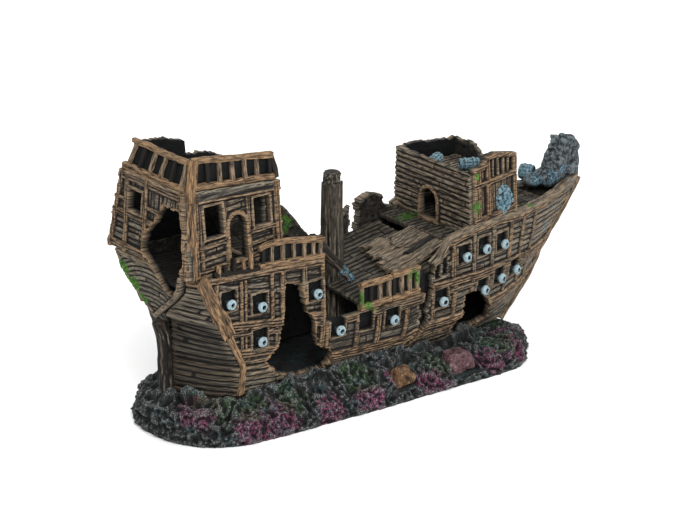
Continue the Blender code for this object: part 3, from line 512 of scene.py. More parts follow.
def bar(path, size, seed, up=UPWARD, taper=(1, 1), grooves=2, wear=0.22, ragged=0.0, tone=0.55, trim=0.8,
        power=5.0):
    """A worn timber through path points: size is (across, deep), deep measured along up."""
    step = 0.6
    path = np.asarray(path, float)
    lengths = np.concatenate(([0], np.cumsum(np.linalg.norm(np.diff(path, axis=0), axis=1))))
    count = max(int(lengths[-1] / step), 3)
    at = np.linspace(0, lengths[-1], count + 1)
    middle = np.stack([np.interp(at, lengths, path[:, k]) for k in range(3)], 1)
    if len(path) > 2:
        for _ in range(6):
            middle[1:-1] = (middle[:-2] + middle[1:-1] * 2 + middle[2:]) / 4
    run = np.gradient(middle, axis=0)
    run /= np.linalg.norm(run, axis=1, keepdims=True)
    side = np.cross(run, np.asarray(up, float))
    side /= np.maximum(np.linalg.norm(side, axis=1, keepdims=True), 1e-9)
    rise = np.cross(side, run)
    around = max(int(2 * (size[0] + size[1]) / step), 10)
    turn = np.linspace(0, 2 * np.pi, around, endpoint=False) + np.pi / around
    cos, sin = np.cos(turn), np.sin(turn)
    bulge = (np.abs(cos) ** power + np.abs(sin) ** power) ** (-1 / power)
    scale = np.interp(at / at[-1], (0, 1), taper)[:, None]
    offset_a, offset_b = cos * bulge * size[0] / 2, sin * bulge * size[1] / 2
    flow_u = np.broadcast_to(at[:, None], (count + 1, around))
    flow_v = np.broadcast_to(turn * (size[0] + size[1]) / np.pi, flow_u.shape)
    grid_a, grid_b = (np.broadcast_to(offset, flow_u.shape) for offset in (offset_a, offset_b))
    sample = np.stack((flow_u, grid_a, grid_b), -1)
    swell = 1 + (wear * (noise(sample, (9, 1.6, 1.6), seed) + 0.5 * noise(sample, (4, 1.2, 1.2), seed + 1))
                 / (max(min(size), 1.2) / 2))
    if grooves:
        cut = np.cos(flow_v * 2 * np.pi * grooves / max(size))
        swell = swell - 0.10 * soft(cut, 0.4, 1.0) * np.minimum(2.4 / max(size), 1)
    a = (offset_a[None] * scale * swell)[..., None]
    b = (offset_b[None] * scale * swell)[..., None]
    points = middle[:, None] + side[:, None] * a + rise[:, None] * b
    if ragged:
        jag = ragged * noise(flat_points(grid_a, grid_b), 0.9, seed + 5)
        near = np.exp(-np.minimum(at, at[-1] - at) / 1.2)[:, None]
        points = points + run[:, None] * (jag * near)[..., None]
    quads, first, last = sleeve(count + 1, around)
    flow = np.stack((flow_u, flow_v), -1).reshape(-1, 2) + chance(seed, 5) * 90
    return turned_out(part_of(points.reshape(-1, 3), quads, flow, (first, last[::-1]), tone=tone, trim=trim))


def lathe(profile, place, sides=40, step=0.45, seed=0, wear=0.12, staves=0, tone=0.5, trim=0.0,
          root=0.0, mouth=None):
    """A turned piece: profile pairs are (distance along the frame's Z, radius).

    It carries painted shade before root and past mouth, both measured along the profile.
    """
    profile = np.asarray(profile, float)
    lengths = np.concatenate(([0], np.cumsum(np.linalg.norm(np.diff(profile, axis=0), axis=1))))
    at = np.unique(np.concatenate((np.arange(0, lengths[-1], step), lengths)))
    away, radius = np.interp(at, lengths, profile[:, 0]), np.interp(at, lengths, profile[:, 1])
    turn = np.linspace(0, 2 * np.pi, sides, endpoint=False)
    radius = np.broadcast_to(radius[:, None], (len(at), sides)).copy()
    if staves:
        radius -= 0.16 * np.exp(-((np.abs(np.sin(turn * staves / 2)) * 3) ** 2)) * (radius > 1.2)
    ring = np.stack((radius * np.cos(turn), radius * np.sin(turn),
                     np.broadcast_to(away[:, None], radius.shape)), -1)
    swell = wear * rough(ring, 1.6, 3, seed)
    ring[..., 0] += swell * np.cos(turn)
    ring[..., 1] += swell * np.sin(turn)
    turn_matrix = np.array(place.to_3x3())
    points = ring.reshape(-1, 3) @ turn_matrix.T + np.array(place.to_translation())
    quads, first, last = sleeve(len(at), sides)
    flow = np.stack((np.broadcast_to(at[:, None], radius.shape), turn * radius), -1).reshape(-1, 2)
    gloom = np.zeros(radius.shape)
    gloom[at < root] = 0.9
    if mouth:
        gloom[at >= mouth] = 1.0
    return turned_out(part_of(points, quads, flow, (first[::-1], last), tone, trim, gloom.ravel()))


def pointing(origin, direction):
    """A frame at origin whose Z axis points along direction."""
    turn = Vector(direction).to_track_quat("Z", "Y").to_matrix().to_4x4()
    return Matrix.Translation(Vector(origin)) @ turn


def remeshed(points, faces, voxel):
    """A closed quad mesh round any closed shapes, as points and quads."""
    mesh = bpy.data.meshes.new("remesh")
    mesh.from_pydata([tuple(point) for point in points], [], [tuple(face) for face in faces])
    holder = bpy.data.objects.new("remesh", mesh)
    bpy.context.scene.collection.objects.link(holder)
    modifier = holder.modifiers.new("voxels", "REMESH")
    modifier.mode = "VOXEL"
    modifier.voxel_size = voxel
    solved = holder.evaluated_get(bpy.context.evaluated_depsgraph_get()).to_mesh()
    corners = np.zeros(len(solved.vertices) * 3)
    solved.vertices.foreach_get("co", corners)
    quads = np.array([tuple(face.vertices) for face in solved.polygons if len(face.vertices) == 4])
    bpy.data.objects.remove(holder, do_unlink=True)
    return corners.reshape(-1, 3), quads


def ball(centre, radii, tilt=0.0, steps=16):
    """Points and faces of an ellipsoid turned about Y by tilt degrees."""
    turn = Matrix.Rotation(math.radians(tilt), 3, "Y")
    points, faces = [], []
    for row in range(steps + 1):
        lift = math.pi * row / steps - math.pi / 2
        for k in range(steps * 2):
            angle = math.pi * k / steps
            local = Vector((radii[0] * math.cos(lift) * math.cos(angle),
                            radii[1] * math.cos(lift) * math.sin(angle), radii[2] * math.sin(lift)))
            points.append(Vector(centre) + turn @ local)
    ring = steps * 2
    for row in range(steps):
        for k in range(ring):
            a, b = row * ring + k, row * ring + (k + 1) % ring
            faces.append((a, b, b + ring, a + ring))
    return points, faces


def blob(balls, voxel, seed, wear, size):
    """Balls fused into one skin and roughened."""
    points, faces = [], []
    for shape_points, shape_faces in balls:
        faces += [tuple(k + len(points) for k in face) for face in shape_faces]
        points += shape_points
    points, quads = remeshed(points, faces, voxel)
    points = evened(points, quads, 2)
    normals = point_normals(points, quads)
    points = points + normals * (wear * rough(points, size, 3, seed))[:, None]
    return part_of(points, quads, points[:, [0, 2]])


# ---- materials -----------------------------------------------------------------------------------

class Nodes:
    """Short calls for building one material's node tree."""

    def __init__(self, name, roughness):
        self.material = bpy.data.materials.new(name)
        self.material.use_nodes = True
        self.tree = self.material.node_tree
        self.shader = self.tree.nodes["Principled BSDF"]
        self.shader.inputs["Roughness"].default_value = roughness
        self.shader.inputs["Specular IOR Level"].default_value = MATT
        self.place = self.tree.nodes.new("ShaderNodeTexCoord").outputs["Object"]

    def link(self, source, target):
        if isinstance(source, (int, float)):
            target.default_value = source
        elif isinstance(source, tuple):
            target.default_value = (*source, 1.0)
        else:
            self.tree.links.new(source, target)

    def layer(self, name):
        node = self.tree.nodes.new("ShaderNodeAttribute")
        node.attribute_name = name
        return node.outputs["Vector"] if name == "flow" else node.outputs["Fac"]

    def stretched(self, vector, scale):
        node = self.tree.nodes.new("ShaderNodeVectorMath")
        node.operation = "MULTIPLY"
        self.link(vector, node.inputs[0])
        node.inputs[1].default_value = scale
        return node.outputs[0]

    def noise(self, vector, size, detail=4.0, roughness=0.6):
        node = self.tree.nodes.new("ShaderNodeTexNoise")
        self.link(vector, node.inputs["Vector"])
        node.inputs["Scale"].default_value = 1 / (size * MM)
        node.inputs["Detail"].default_value = detail
        node.inputs["Roughness"].default_value = roughness
        return node.outputs["Fac"]

    def cells(self, vector, size):
        node = self.tree.nodes.new("ShaderNodeTexVoronoi")
        self.link(vector, node.inputs["Vector"])
        node.inputs["Scale"].default_value = 1 / (size * MM)
        return node.outputs["Distance"]

    def maths(self, operation, a, b):
        node = self.tree.nodes.new("ShaderNodeMath")
        node.operation = operation
        self.link(a, node.inputs[0])
        self.link(b, node.inputs[1])
        return node.outputs[0]

    def plus(self, a, b):
        return self.maths("ADD", a, b)

    def times(self, a, b):
        return self.maths("MULTIPLY", a, b)

    def between(self, value, low, high, to_low=0.0, to_high=1.0):
        node = self.tree.nodes.new("ShaderNodeMapRange")
        node.interpolation_type = "SMOOTHSTEP"
        for key, amount in (("Value", value), ("From Min", low), ("From Max", high), ("To Min", to_low),
                            ("To Max", to_high)):
            self.link(amount, node.inputs[key])
        return node.outputs["Result"]

    def mix(self, amount, a, b):
        node = self.tree.nodes.new("ShaderNodeMix")
        node.data_type = "RGBA"
        self.link(amount, node.inputs[0])
        self.link(a, node.inputs[6])
        self.link(b, node.inputs[7])
        return node.outputs[2]

    def ramp(self, value, stops):
        node = self.tree.nodes.new("ShaderNodeValToRGB")
        for k, (at, colour) in enumerate(stops):
            stop = node.color_ramp.elements[k] if k < 2 else node.color_ramp.elements.new(at)
            stop.position = at
            stop.color = (*colour, 1.0)
        self.link(value, node.inputs[0])
        return node.outputs[0]

    def finish(self, colour, height, distance=0.25, strength=0.8, roughness=None):
        bump = self.tree.nodes.new("ShaderNodeBump")
        bump.inputs["Distance"].default_value = distance * MM
        bump.inputs["Strength"].default_value = strength
        self.link(height, bump.inputs["Height"])
        self.link(bump.outputs[0], self.shader.inputs["Normal"])
        self.link(colour, self.shader.inputs["Base Color"])
        if roughness is not None:
            self.link(roughness, self.shader.inputs["Roughness"])
        return self.material


def growths(n, colour):
    """Moss, blue-white encrustation, then painted shade in hollow insides and recesses, over any finish."""
    fleck = n.noise(n.place, 0.9, 3, 0.7)
    green = n.ramp(n.noise(n.place, 1.6, 4, 0.7), ((0.3, MOSS_DARK), (0.5, MOSS), (0.68, MOSS_LIGHT)))
    amount = n.between(n.plus(n.times(n.layer("moss"), 0.62), fleck), 0.88, 1.1)
    colour = n.mix(amount, colour, green)
    crust = n.ramp(n.noise(n.place, 1.3, 4, 0.75), ((0.40, BLUE_DARK), (0.5, BLUE), (0.6, BLUE_PALE)))
    amount = n.between(n.plus(n.times(n.layer("patina"), 0.55), fleck), 0.99, 1.12)
    # Painted shade darkens hollow insides, recesses and bores.
    return n.mix(n.layer("gloom"), n.mix(amount, colour, crust), SHADE_BLACK)


def timber_finish(name, brightness=1.0, warmth=1.0):
    """Cast resin timber: stained planks, black wash in the seams and a dry-brushed tan on the edges."""
    n = Nodes(name, 0.72)
    flow = n.layer("flow")
    streak = n.noise(n.stretched(flow, (0.14, 1.0, 1.0)), 0.75, 5, 0.65)
    patch = n.noise(n.place, 6.0, 4, 0.6)
    fine = n.noise(n.stretched(flow, (0.3, 1.0, 1.0)), 0.32, 3, 0.6)
    tone = n.plus(n.times(n.layer("tone"), 0.26), n.times(streak, 0.62))
    tone = n.plus(tone, n.times(patch, 0.42))
    stain = n.ramp(tone, ((0.46, WOOD_BLACK), (0.62, WOOD_DARK), (0.78, WOOD_GREY), (0.95, WOOD_TAN)))
    warm = n.ramp(n.plus(n.times(streak, 0.7), n.times(patch, 0.4)),
                  ((0.42, WOOD_BLACK), (0.56, RUST), (0.76, ORANGE)))
    colour = n.mix(n.times(n.layer("trim"), 0.82 * warmth), stain, warm)
    relief = n.layer("relief")
    brush = n.times(n.between(relief, 0.1, 0.8), n.between(streak, 0.40, 0.6))
    edge = n.mix(n.layer("trim"), EDGE_TAN, EDGE_ORANGE)
    colour = n.mix(n.times(brush, 0.85), colour, edge)
    wash = n.between(relief, 0.03, -0.42)
    colour = n.mix(n.times(wash, 0.92), colour, WASH)
    grime = n.between(n.noise(n.place, 11.0, 3, 0.6), 0.56, 0.74)
    colour = n.mix(n.times(grime, 0.4), colour, WASH)
    colour = growths(n, colour)
    height = n.plus(n.times(streak, 0.8), n.times(fine, 0.5))
    return n.finish(colour, height, 0.3 * brightness, 0.8, n.between(patch, 0.3, 0.7, 0.6, 0.85))


def rock_finish(name, dark, mid, light, accents=True):
    """Painted rock: near-black pits, dry-brushed crests, and sponged patches of colour."""
    n = Nodes(name, 0.8)
    lumps = n.noise(n.place, 2.6, 5, 0.7)
    grit = n.noise(n.place, 0.7, 4, 0.7)
    relief = n.layer("relief")
    colour = n.ramp(n.plus(n.times(lumps, 0.7), n.times(grit, 0.3)),
                    ((0.36, dark), (0.56, mid), (0.74, mid)))
    if accents:
        sponge = n.between(n.noise(n.place, 1.4, 4, 0.75), 0.44, 0.58)
        for layer, shade, bright in (("pink", PLUM, PINK), ("green", MOSS_DARK, MOSS)):
            tint = n.mix(n.between(grit, 0.42, 0.62), shade, bright)
            amount = n.times(n.between(n.layer(layer), 0.1, 0.75), sponge)
            colour = n.mix(n.times(amount, 0.7), colour, tint)
        teal = n.times(n.between(n.noise(n.place, 9.0, 3, 0.6), 0.5, 0.62), sponge)
        colour = n.mix(n.times(teal, 0.65), colour, TEAL)
    brush = n.times(n.between(relief, 0.12, 0.7), n.between(grit, 0.46, 0.62))
    colour = n.mix(n.times(brush, 0.8), colour, light)
    colour = n.mix(n.times(n.between(relief, 0.0, -0.6), 0.9), colour, dark)
    colour = growths(n, colour)
    height = n.plus(n.times(lumps, 0.9), n.times(grit, 0.6))
    return n.finish(colour, height, 0.8, 1.0, n.between(grit, 0.3, 0.7, 0.65, 0.9))


def patina_finish(name, dark, mid, light, rust=0.35):
    """Blue-white encrusted castings with rust showing through."""
    n = Nodes(name, 0.62)
    lumps = n.noise(n.place, 1.8, 4, 0.7)
    grit = n.noise(n.place, 0.55, 4, 0.7)
    relief = n.layer("relief")
    colour = n.ramp(lumps, ((0.36, dark), (0.5, mid), (0.64, light)))
    stained = n.between(n.noise(n.place, 2.4, 3, 0.7), 0.55, 0.66)
    colour = n.mix(n.times(stained, rust), colour, RUST)
    colour = n.mix(n.times(n.between(relief, 0.1, 0.7), 0.7), colour, light)
    colour = n.mix(n.times(n.between(relief, -0.05, -0.6), 0.85), colour, WASH)
    colour = growths(n, colour)
    return n.finish(colour, n.plus(lumps, grit), 0.25, 0.7, n.between(grit, 0.3, 0.7, 0.5, 0.8))


def ceramic_finish(name):
    """Sintered air stone: bonded blue-grey grains with open pores."""
    n = Nodes(name, 0.92)
    pores = n.cells(n.place, 0.7)
    grit = n.noise(n.place, 0.4, 3, 0.7)
    colour = n.ramp(pores, ((0.1, (0.03, 0.05, 0.08)), (0.3, (0.12, 0.20, 0.30)), (0.6, (0.30, 0.42, 0.55))))
    return n.finish(colour, n.plus(pores, grit), 0.35, 0.9)


def plastic_finish(name, colour, roughness, clear=0.0, mottle=0.06):
    """Moulded plastic or rubber with a faint flow pattern."""
    n = Nodes(name, roughness)
    haze = n.noise(n.place, 3.0, 3, 0.5)
    darker = tuple(channel * (1 - 3 * mottle) for channel in colour)
    n.shader.inputs["Transmission Weight"].default_value = clear
    n.shader.inputs["Specular IOR Level"].default_value = GLOSSY
    return n.finish(n.mix(haze, darker, colour), n.noise(n.place, 0.5, 3, 0.6), 0.05, 0.4,
                    n.between(haze, 0.3, 0.7, roughness * 0.85, roughness * 1.15))


# Each finish is a slot and a material.
TIMBER = "wood_resin", timber_finish("painted_timber")
TRIM = "trim_resin", timber_finish("painted_trim", 1.1, 1.05)
ROCK = "rock_resin", rock_finish(
    "painted_rock", (0.0035, 0.004, 0.004), (0.019, 0.020, 0.020), (0.190, 0.200, 0.190))
BROWN_STONE = "stone_brown", rock_finish(
    "brown_stone", (0.02, 0.012, 0.008), (0.13, 0.07, 0.035), (0.30, 0.21, 0.13), False)
PINK_STONE = "stone_pink", rock_finish(
    "pink_stone", (0.02, 0.013, 0.015), (0.11, 0.055, 0.06), (0.32, 0.25, 0.25), False)
PATINA = "patina_resin", patina_finish(
    "blue_patina", (0.009, 0.013, 0.015), (0.032, 0.058, 0.070), BLUE_PALE)
GUN_METAL = "patina_resin", patina_finish(
    "gun_patina", (0.020, 0.034, 0.042), (0.110, 0.180, 0.220), (0.30, 0.39, 0.42), 0.7)
BEAST = "patina_resin", patina_finish(
    "beast_patina", (0.008, 0.009, 0.010), (0.026, 0.030, 0.034), (0.110, 0.135, 0.145), 0.1)
CERAMIC = "air_stone", ceramic_finish("sintered_stone")
TUBE = "clear_tube", plastic_finish("clear_tube", (0.80, 0.86, 0.88), 0.22, 0.6)
RUBBER = "bush_rubber", plastic_finish("black_rubber", (0.022, 0.022, 0.023), 0.6)


# ---- hull ----------------------------------------------------------------------------------------

# Upright riders on the planking: (length, width, foot, top).
RIDERS = ((-113.4, 1.9, 45, 84), (-110.7, 1.5, 45, 84), (-91.5, 2.2, 43, 57), (-87.4, 3.0, 57, 84),
          (-73.6, 3.0, 57, 84), (-61.8, 3.2, 28, 84), (-66.6, 1.8, 28, 54), (-59.0, 2.6, 26, 49),
          (-38.6, 2.9, 25, 49), (-24.6, 3.0, 25, 49), (-5.5, 2.8, 25, 49), (12.6, 2.6, 29, 50),
          (27.6, 2.8, 29, 50), (41.2, 2.2, 41, 50), (57.2, 2.8, 29, 50), (72.2, 2.8, 29, 48),
          (87.6, 2.8, 29, 47), (97.6, 2.4, 30, 45), (25.8, 2.6, 51, 73), (41.4, 2.6, 51, 75),
          (56.7, 2.6, 51, 75), (72.4, 2.6, 50, 74), (84.0, 2.4, 49, 73), (96.0, 2.4, 48, 73),
          (-128.5, 2.4, 66, 88), (-94.3, 2.2, 60, 84))


def half_breadth(x, z):
    """Distance from the centre plane to the hull's outer face."""
    full = along(MIDSHIP_HALF, z)
    timber, end, end_half = along(TIMBER_LINE, z), along(TUCK_LINE, z), along(TUCK_HALF, z)
    reach = np.clip((x - end) / (timber - end), 0, 1)
    run = end_half + (full - end_half) * (1 - (1 - reach) ** RUN_POWER)
    stem = along(STEM_LINE, z)
    reach = np.clip((stem - x) / (stem - ENTRY_X), 0, 1)
    entry = STEM_HALF + (full - STEM_HALF) * (1 - (1 - reach) ** ENTRY_POWER)
    return np.where(x < timber, run, np.where(x > ENTRY_X, entry, full))


def lay(layers, distance, level, tint, texture=0.0):
    """Lay a raised timber over what is there, where distance is negative."""
    height, tone, trim, gloom = layers
    on = soft(-distance, -0.2, 0.3)
    return [height + (level + texture - height) * on, tone, trim + (tint - trim) * on, gloom * (1 - on)]


def sink(layers, distance, depth):
    """Sink a recess where distance is negative, with painted shade in it."""
    height, tone, trim, gloom = layers
    on = soft(-distance, -0.15, 0.25)
    # Painted shade fills the recess.
    return [height + (-depth - height) * on, tone, trim * (1 - on), np.maximum(gloom, on)]


def beams(layers, across, places, level, tint, texture):
    """Lay straight timbers of (place, half width) over what is there."""
    for at, half in places:
        layers = lay(layers, np.abs(across - at) - half, level, tint, texture)
    return layers


def tear(layers, room, reach, rise, tint):
    """Bare wood within reach of a break, where room is the distance to it."""
    torn = np.exp(-(np.maximum(room, 0) / reach) ** 2)
    height, tone, trim, gloom = layers
    return [height + rise * torn, tone, np.maximum(trim, tint * torn), gloom]


def grain(run, across, seed, depth=0.2, pitch=1.5):
    """Long grooves along a timber."""
    sample = np.stack((run, across, np.full(np.shape(run), float(seed))), -1)
    bend = across + 0.35 * noise(sample, (9, 4, 9), seed + 2)
    return (depth * np.cos(bend * 2 * np.pi / pitch) + 0.22 * noise(sample, (5, 0.8, 9), seed)
            - 0.4 * soft(noise(sample, (11, 0.9, 9), seed + 1), 0.55, 0.8))


def hull_relief(sheer, ports, breaches, seed):
    """Relief of a ship's side: planks, riders, two wales, the rail and the gun ports."""
    def relief(x, z):
        main, low, top = along(MAIN_WALE, x), along(LOW_WALE, x), along(sheer, x)
        level = np.where(z > main, z - main, np.where(z > low, (z - low) / (main - low) * 18, z - low))
        height, tone = planks(x, level + 180, 3.2, seed, seam=0.75)
        tone = tone + 0.6 * soft(x, 30, 120)
        layers = [height, tone, np.full(x.shape, 0.12) + 0.25 * (chance(np.floor(level / 3.2), seed) > 0.7),
                  np.zeros(x.shape)]
        for at, width, foot, head in RIDERS:
            lean = 0.02 * (z - 50)
            distance = boxed(x - lean, z, (at - width / 2, foot), (at + width / 2, head))
            layers = lay(layers, distance, 0.85, 0.75 if chance(int(at * 10), 3) > 0.35 else 0.35,
                         grain(z, x, seed + 7))
        for line, tall, rise in ((main, 2.3, 1.25), (low, 2.5, 1.1)):
            on_hull = np.where(x < along(TIMBER_LINE, z) + 2, 3.0, 0.0)
            away = z - line
            layers = lay(layers, np.abs(away) - tall + on_hull, rise, 0.78, grain(x, away, seed + 9, 0.28))
            layers = lay(layers, np.abs(away + 4.6) - 1.5 + on_hull, 0.6, 0.45, grain(x, away, seed + 10))
        layers = lay(layers, np.abs(z - top + 1.6) - 1.7, 0.9, 0.7, grain(x, z - top, seed + 11))
        for port_x, port_z in ports:
            middle = port_z + PORT_RISE
            distance = boxed(x, z, (port_x - PORT_HALF[0], middle - PORT_HALF[1]),
                             (port_x + PORT_HALF[0], middle + PORT_HALF[1]))
            layers = lay(layers, distance - 1.3, 0.75, 0.4, grain(x, z, seed + 12, 0.1))
            layers = sink(layers, distance, PORT_DEPTH)
        for at, width, foot, head in BOW_SLITS:
            layers = sink(layers, boxed(x, z, (at - width / 2, foot), (at + width / 2, head)), 2.0)
        # Painted shade under the counter's overhang, also standing for a dark wash there.
        tuck = soft(along(TIMBER_LINE, z) - x, 0, 4) * soft(66 - z, 0, 6)
        layers[SHADE_LAYER] = np.maximum(layers[SHADE_LAYER], 0.62 * tuck)
        near = np.full(x.shape, FAR)
        for breach in breaches:
            near = np.minimum(near, np.maximum(outside(x, z, breach), 0))
        return tear(layers, near, 1.8, -0.5, 0.85)
    return relief


def plank_break(z, seed, reach):
    """How far each broken plank runs past the break line."""
    row = np.floor(z / 3.6)
    return reach * (chance(row, seed) - 0.5) * 2 + 0.3 * noise(flat_points(z, z * 0), 0.9, seed)


def hull_piece(name, side, aft, fore, nominal, sheer, ports, breaches, seed):
    """One broken length of the ship's side with its planking, wales, riders and gun ports."""
    columns = int((nominal[1] - nominal[0]) / STEP)
    rows = int(76 / STEP)
    reach = np.linspace(0, 1, columns + 1)[:, None]
    rise = np.linspace(0, 1, rows + 1)[None, :]
    top = along(sheer, nominal[0] + (nominal[1] - nominal[0]) * reach)
    foot = along(HULL_FOOT, aft(FOOT_Z) + (fore(FOOT_Z) - aft(FOOT_Z)) * reach)
    z = foot + (top - foot) * rise
    x = aft(z) + (fore(z) - aft(z)) * reach

    def solid(length, height):
        room = np.full(length.shape, FAR)
        ragged = 0.7 * rough(flat_points(length, height, seed), (2.6, 1.4, 9), 2, seed + 40)
        for breach in breaches:
            room = np.minimum(room, outside(length, height, breach) + ragged)
        return room

    # The inner side carries painted shade, with less of it above a height of about 64.
    made = panel(x, z, upright(side, half_breadth), (0, side, 0), WALL,
                 hull_relief(sheer, ports, breaches, seed), solid, seed, 1 - 0.75 * soft(z, 62, 66))
    made["points"][:, 1] = side * np.maximum(side * made["points"][:, 1], GAP)
    add_piece(name, made, TIMBER)


def make_hull():
    """Each side in three lengths, parted abaft the waist and at the crack."""
    for side, word in SIDES:
        if side == STARBOARD:
            guns, sheers = STARBOARD_GUNS + EMPTY_PORTS, (STERN_SHEER, MID_SHEER, BOW_SHEER)
            stern_breach, middle_breach = (STARBOARD_BREACH,), (STARBOARD_BREACH,)
        else:
            guns, sheers = PORT_GUNS, (PORT_STERN_SHEER, PORT_MID_SHEER, PORT_BOW_SHEER)
            stern_breach, middle_breach = (PORT_BREACH,), ()
        hull_piece(f"hull_stern_{word}", side, lambda z: along(TUCK_LINE, z), lambda z: STERN_END + 0 * z,
                   (-141, STERN_END), sheers[0], guns, stern_breach, 100 + side)
        hull_piece(f"hull_middle_{word}", side, lambda z: STERN_END + GAP + 0 * z,
                   lambda z: along(CRACK_LINE, z) - 1.5 - 0.6 + plank_break(z, 8, 0.9),
                   (-60, 8), sheers[1], guns, middle_breach, 200 + side)
        hull_piece(f"hull_bow_{word}", side, lambda z: along(CRACK_LINE, z) + 3.0 + plank_break(z, 12, 0.9),
                   lambda z: along(STEM_LINE, z), (10, 144), sheers[2], guns, (BOW_BREACH,), 300 + side)


def make_hull_trims():
    """Frames painted in shade so the crack looks dark from inside, and the cap rails that sweep up to the
    stem.
    """
    for side, word in SIDES:
        path = [(float(along(CRACK_LINE, z)), side * (float(half_breadth(0, z)) - WALL - 1.6), z)
                for z in (19, 26, 36, 48, 60)]
        frame_bar = bar(path, (13, 2.0), 31 + side, up=ACROSS, wear=0.3, tone=0.2, trim=0.1)
        # The frame is painted shade.
        frame_bar["gloom"][:] = 0.85
        add_piece(f"crack_frame_{word}", frame_bar, TIMBER)
        sheer = BOW_SHEER if side == STARBOARD else PORT_BOW_SHEER
        start = 12 if side == STARBOARD else 37
        lengths = np.linspace(start, 141.5, 40)
        tops = along(sheer, lengths)
        path = [(x, side * max(float(half_breadth(x, z)) - 1.3, 0.6), z + 0.2)
                for x, z in zip(lengths, tops)]
        cap = bar(path, (4.6, 2.6), 34 + side, wear=0.4, tone=1.0, trim=0.35, ragged=1.0)
        add_piece(f"bow_cap_{word}", cap, TRIM)


def side_frame(x, z, side):
    """A frame on the hull's outer face: X along the ship, Y up, Z outward."""
    slope = float(half_breadth(x + 2, z) - half_breadth(x - 2, z)) / 4
    outward = Vector((-slope, side, 0)).normalized()
    up = Vector((0, 0, 1))
    turn = Matrix((up.cross(outward), up, outward)).transposed().to_4x4()
    return Matrix.Translation((x, side * float(half_breadth(x, z)), z)) @ turn


def gun(x, z, side, seed):
    """A muzzle standing in its port: chase, ring, swell and bore."""
    profile = ((-2.0, 0.9), (-1.8, 1.3), (0.4, 1.4), (1.2, 2.0), (2.0, 2.6), (2.9, 2.7), (3.6, 2.2),
               (GUN_REACH - 0.4, 1.7), (GUN_REACH - 0.5, 1.25), (GUN_REACH - 2.6, 1.1),
               (GUN_REACH - 2.6, 0.1))
    place = side_frame(x, z + PORT_RISE, side) @ Matrix.Translation((0, -PORT_RISE, 0))
    # Painted shade on the root inside the port and down the bore.
    return lathe(profile, place, 36, 0.3, seed, wear=0.2, root=3.1, mouth=9.0)


def make_guns():
    for prefix, side, places, seed in (("gun", STARBOARD, STARBOARD_GUNS, 0),
                                       ("port_gun", PORT, PORT_GUNS, 50)):
        for number, (x, z) in enumerate(places, 1):
            add_piece(f"{prefix}_{number:02d}", gun(x, z, side, seed + number), GUN_METAL, depth=0.15)


def make_posts():
    """Sternpost, stem, and the curved timbers at the quarters."""
    path = [(-135.6, 0, 17), (-136.0, 0, 32), (-136.3, 0, 45), (-137.2, 0, 52), (-139.6, 0, 59)]
    post = bar(path, (8.4, 5.0), 3, up=FORWARD, tone=0.3, trim=0.2, wear=0.6, grooves=4, ragged=0.8)
    add_piece("sternpost", post, TRIM)
    path = [(float(along(STEM_LINE, z)) + 2.4, 0, z) for z in (5, 13, 20, 30, 40, 50, 60, 69, 75)]
    add_piece("stem_post", bar(path, (4.6, 3.4), 4, up=FORWARD, wear=0.4, tone=0.5, trim=0.5), TRIM)
    lower = ((22, 30, 40, 46, 52, 59, 64), (3.2, 2.4), 6)
    upper = ((58, 66, 73, 80, 86, 91), (7.0, 3.2), 16)
    for side, word in SIDES:
        timbers = []
        for heights, size, key in (lower, upper):
            lengths = [float(along(TIMBER_LINE, z)) + 1.5 for z in heights]
            path = [(x, side * (float(half_breadth(x + 2.5, z)) + 1.3), z) for x, z in zip(lengths, heights)]
            timbers.append(bar(path, size, key + side, up=ACROSS, wear=0.3, trim=0.95, tone=0.8, ragged=0.8))
        add_piece(f"quarter_timber_{word}", joined(timbers), TRIM)


# ---- stern ---------------------------------------------------------------------------------------

def transom_place(y, z):
    return np.stack((TRANSOM_X + TRANSOM_RAKE * (z - WING_Z), y, z), -1)


def transom_relief(y, z):
    """Level slats low on the port half, upright boards elsewhere, then beams and posts."""
    slats, tone = planks(y, z, 2.8, 61, butt=34)
    boards, boards_tone = planks(z, y, 3.3, 62, butt=60)
    port_half = (y > 3) & (z < 112)
    layers = [np.where(port_half, slats, boards), np.where(port_half, tone, boards_tone),
              np.full(y.shape, 0.15), np.zeros(y.shape)]
    layers = beams(layers, z, TRANSOM_BEAMS, 0.9, 0.6, grain(y, z, 63))
    for at in TRANSOM_POSTS:
        lean = -np.sign(at) * 0.19 * (z - 96) * (abs(at) > 30)
        layers = lay(layers, np.abs(y - at - lean) - 1.4, 1.0, 0.8, grain(z, y, 64))
    window = boxed(y, z, *WINDOW_FRAME)
    layers = lay(layers, window - 1.4, 1.1, 0.55, grain(z, y, 65, 0.1))
    return tear(layers, outside(y, z, STERN_HOLE), 1.8, 0.3, 0.8)


def transom_solid(y, z):
    ragged = 0.6 * rough(flat_points(y, z, 4), (1.6, 2.6, 9), 2, 66)
    return np.minimum(np.minimum(-outside(y, z, TRANSOM_OUTLINE), outside(y, z, STERN_HOLE) + ragged),
                      outside(y, z, STERN_WINDOW))


def counter_place(y, z):
    return np.stack((TRANSOM_X + COUNTER_RAKE * (z - WING_Z), y, z), -1)


def counter_relief(y, z):
    """Sagging planks with a rim round them, torn at the stern hole."""
    fall = z + 0.012 * y * y
    height, tone = planks(y, fall, 2.6, 71, butt=40)
    layers = [height, 0.7 + tone * 0.6, np.full(y.shape, 0.12), np.zeros(y.shape)]
    rim = np.abs(outside(y, z, COUNTER_OUTLINE) + 1.2) - 1.2
    layers = lay(layers, rim, 0.6, 0.4, grain(y, z, 72, 0.1))
    return tear(layers, outside(y, z, STERN_HOLE), 1.5, 0.5, 0.7)


def counter_solid(y, z):
    ragged = 0.5 * rough(flat_points(y, z, 4), (1.6, 2.6, 9), 2, 73)
    return np.minimum(-outside(y, z, COUNTER_OUTLINE), outside(y, z, STERN_HOLE) + ragged)


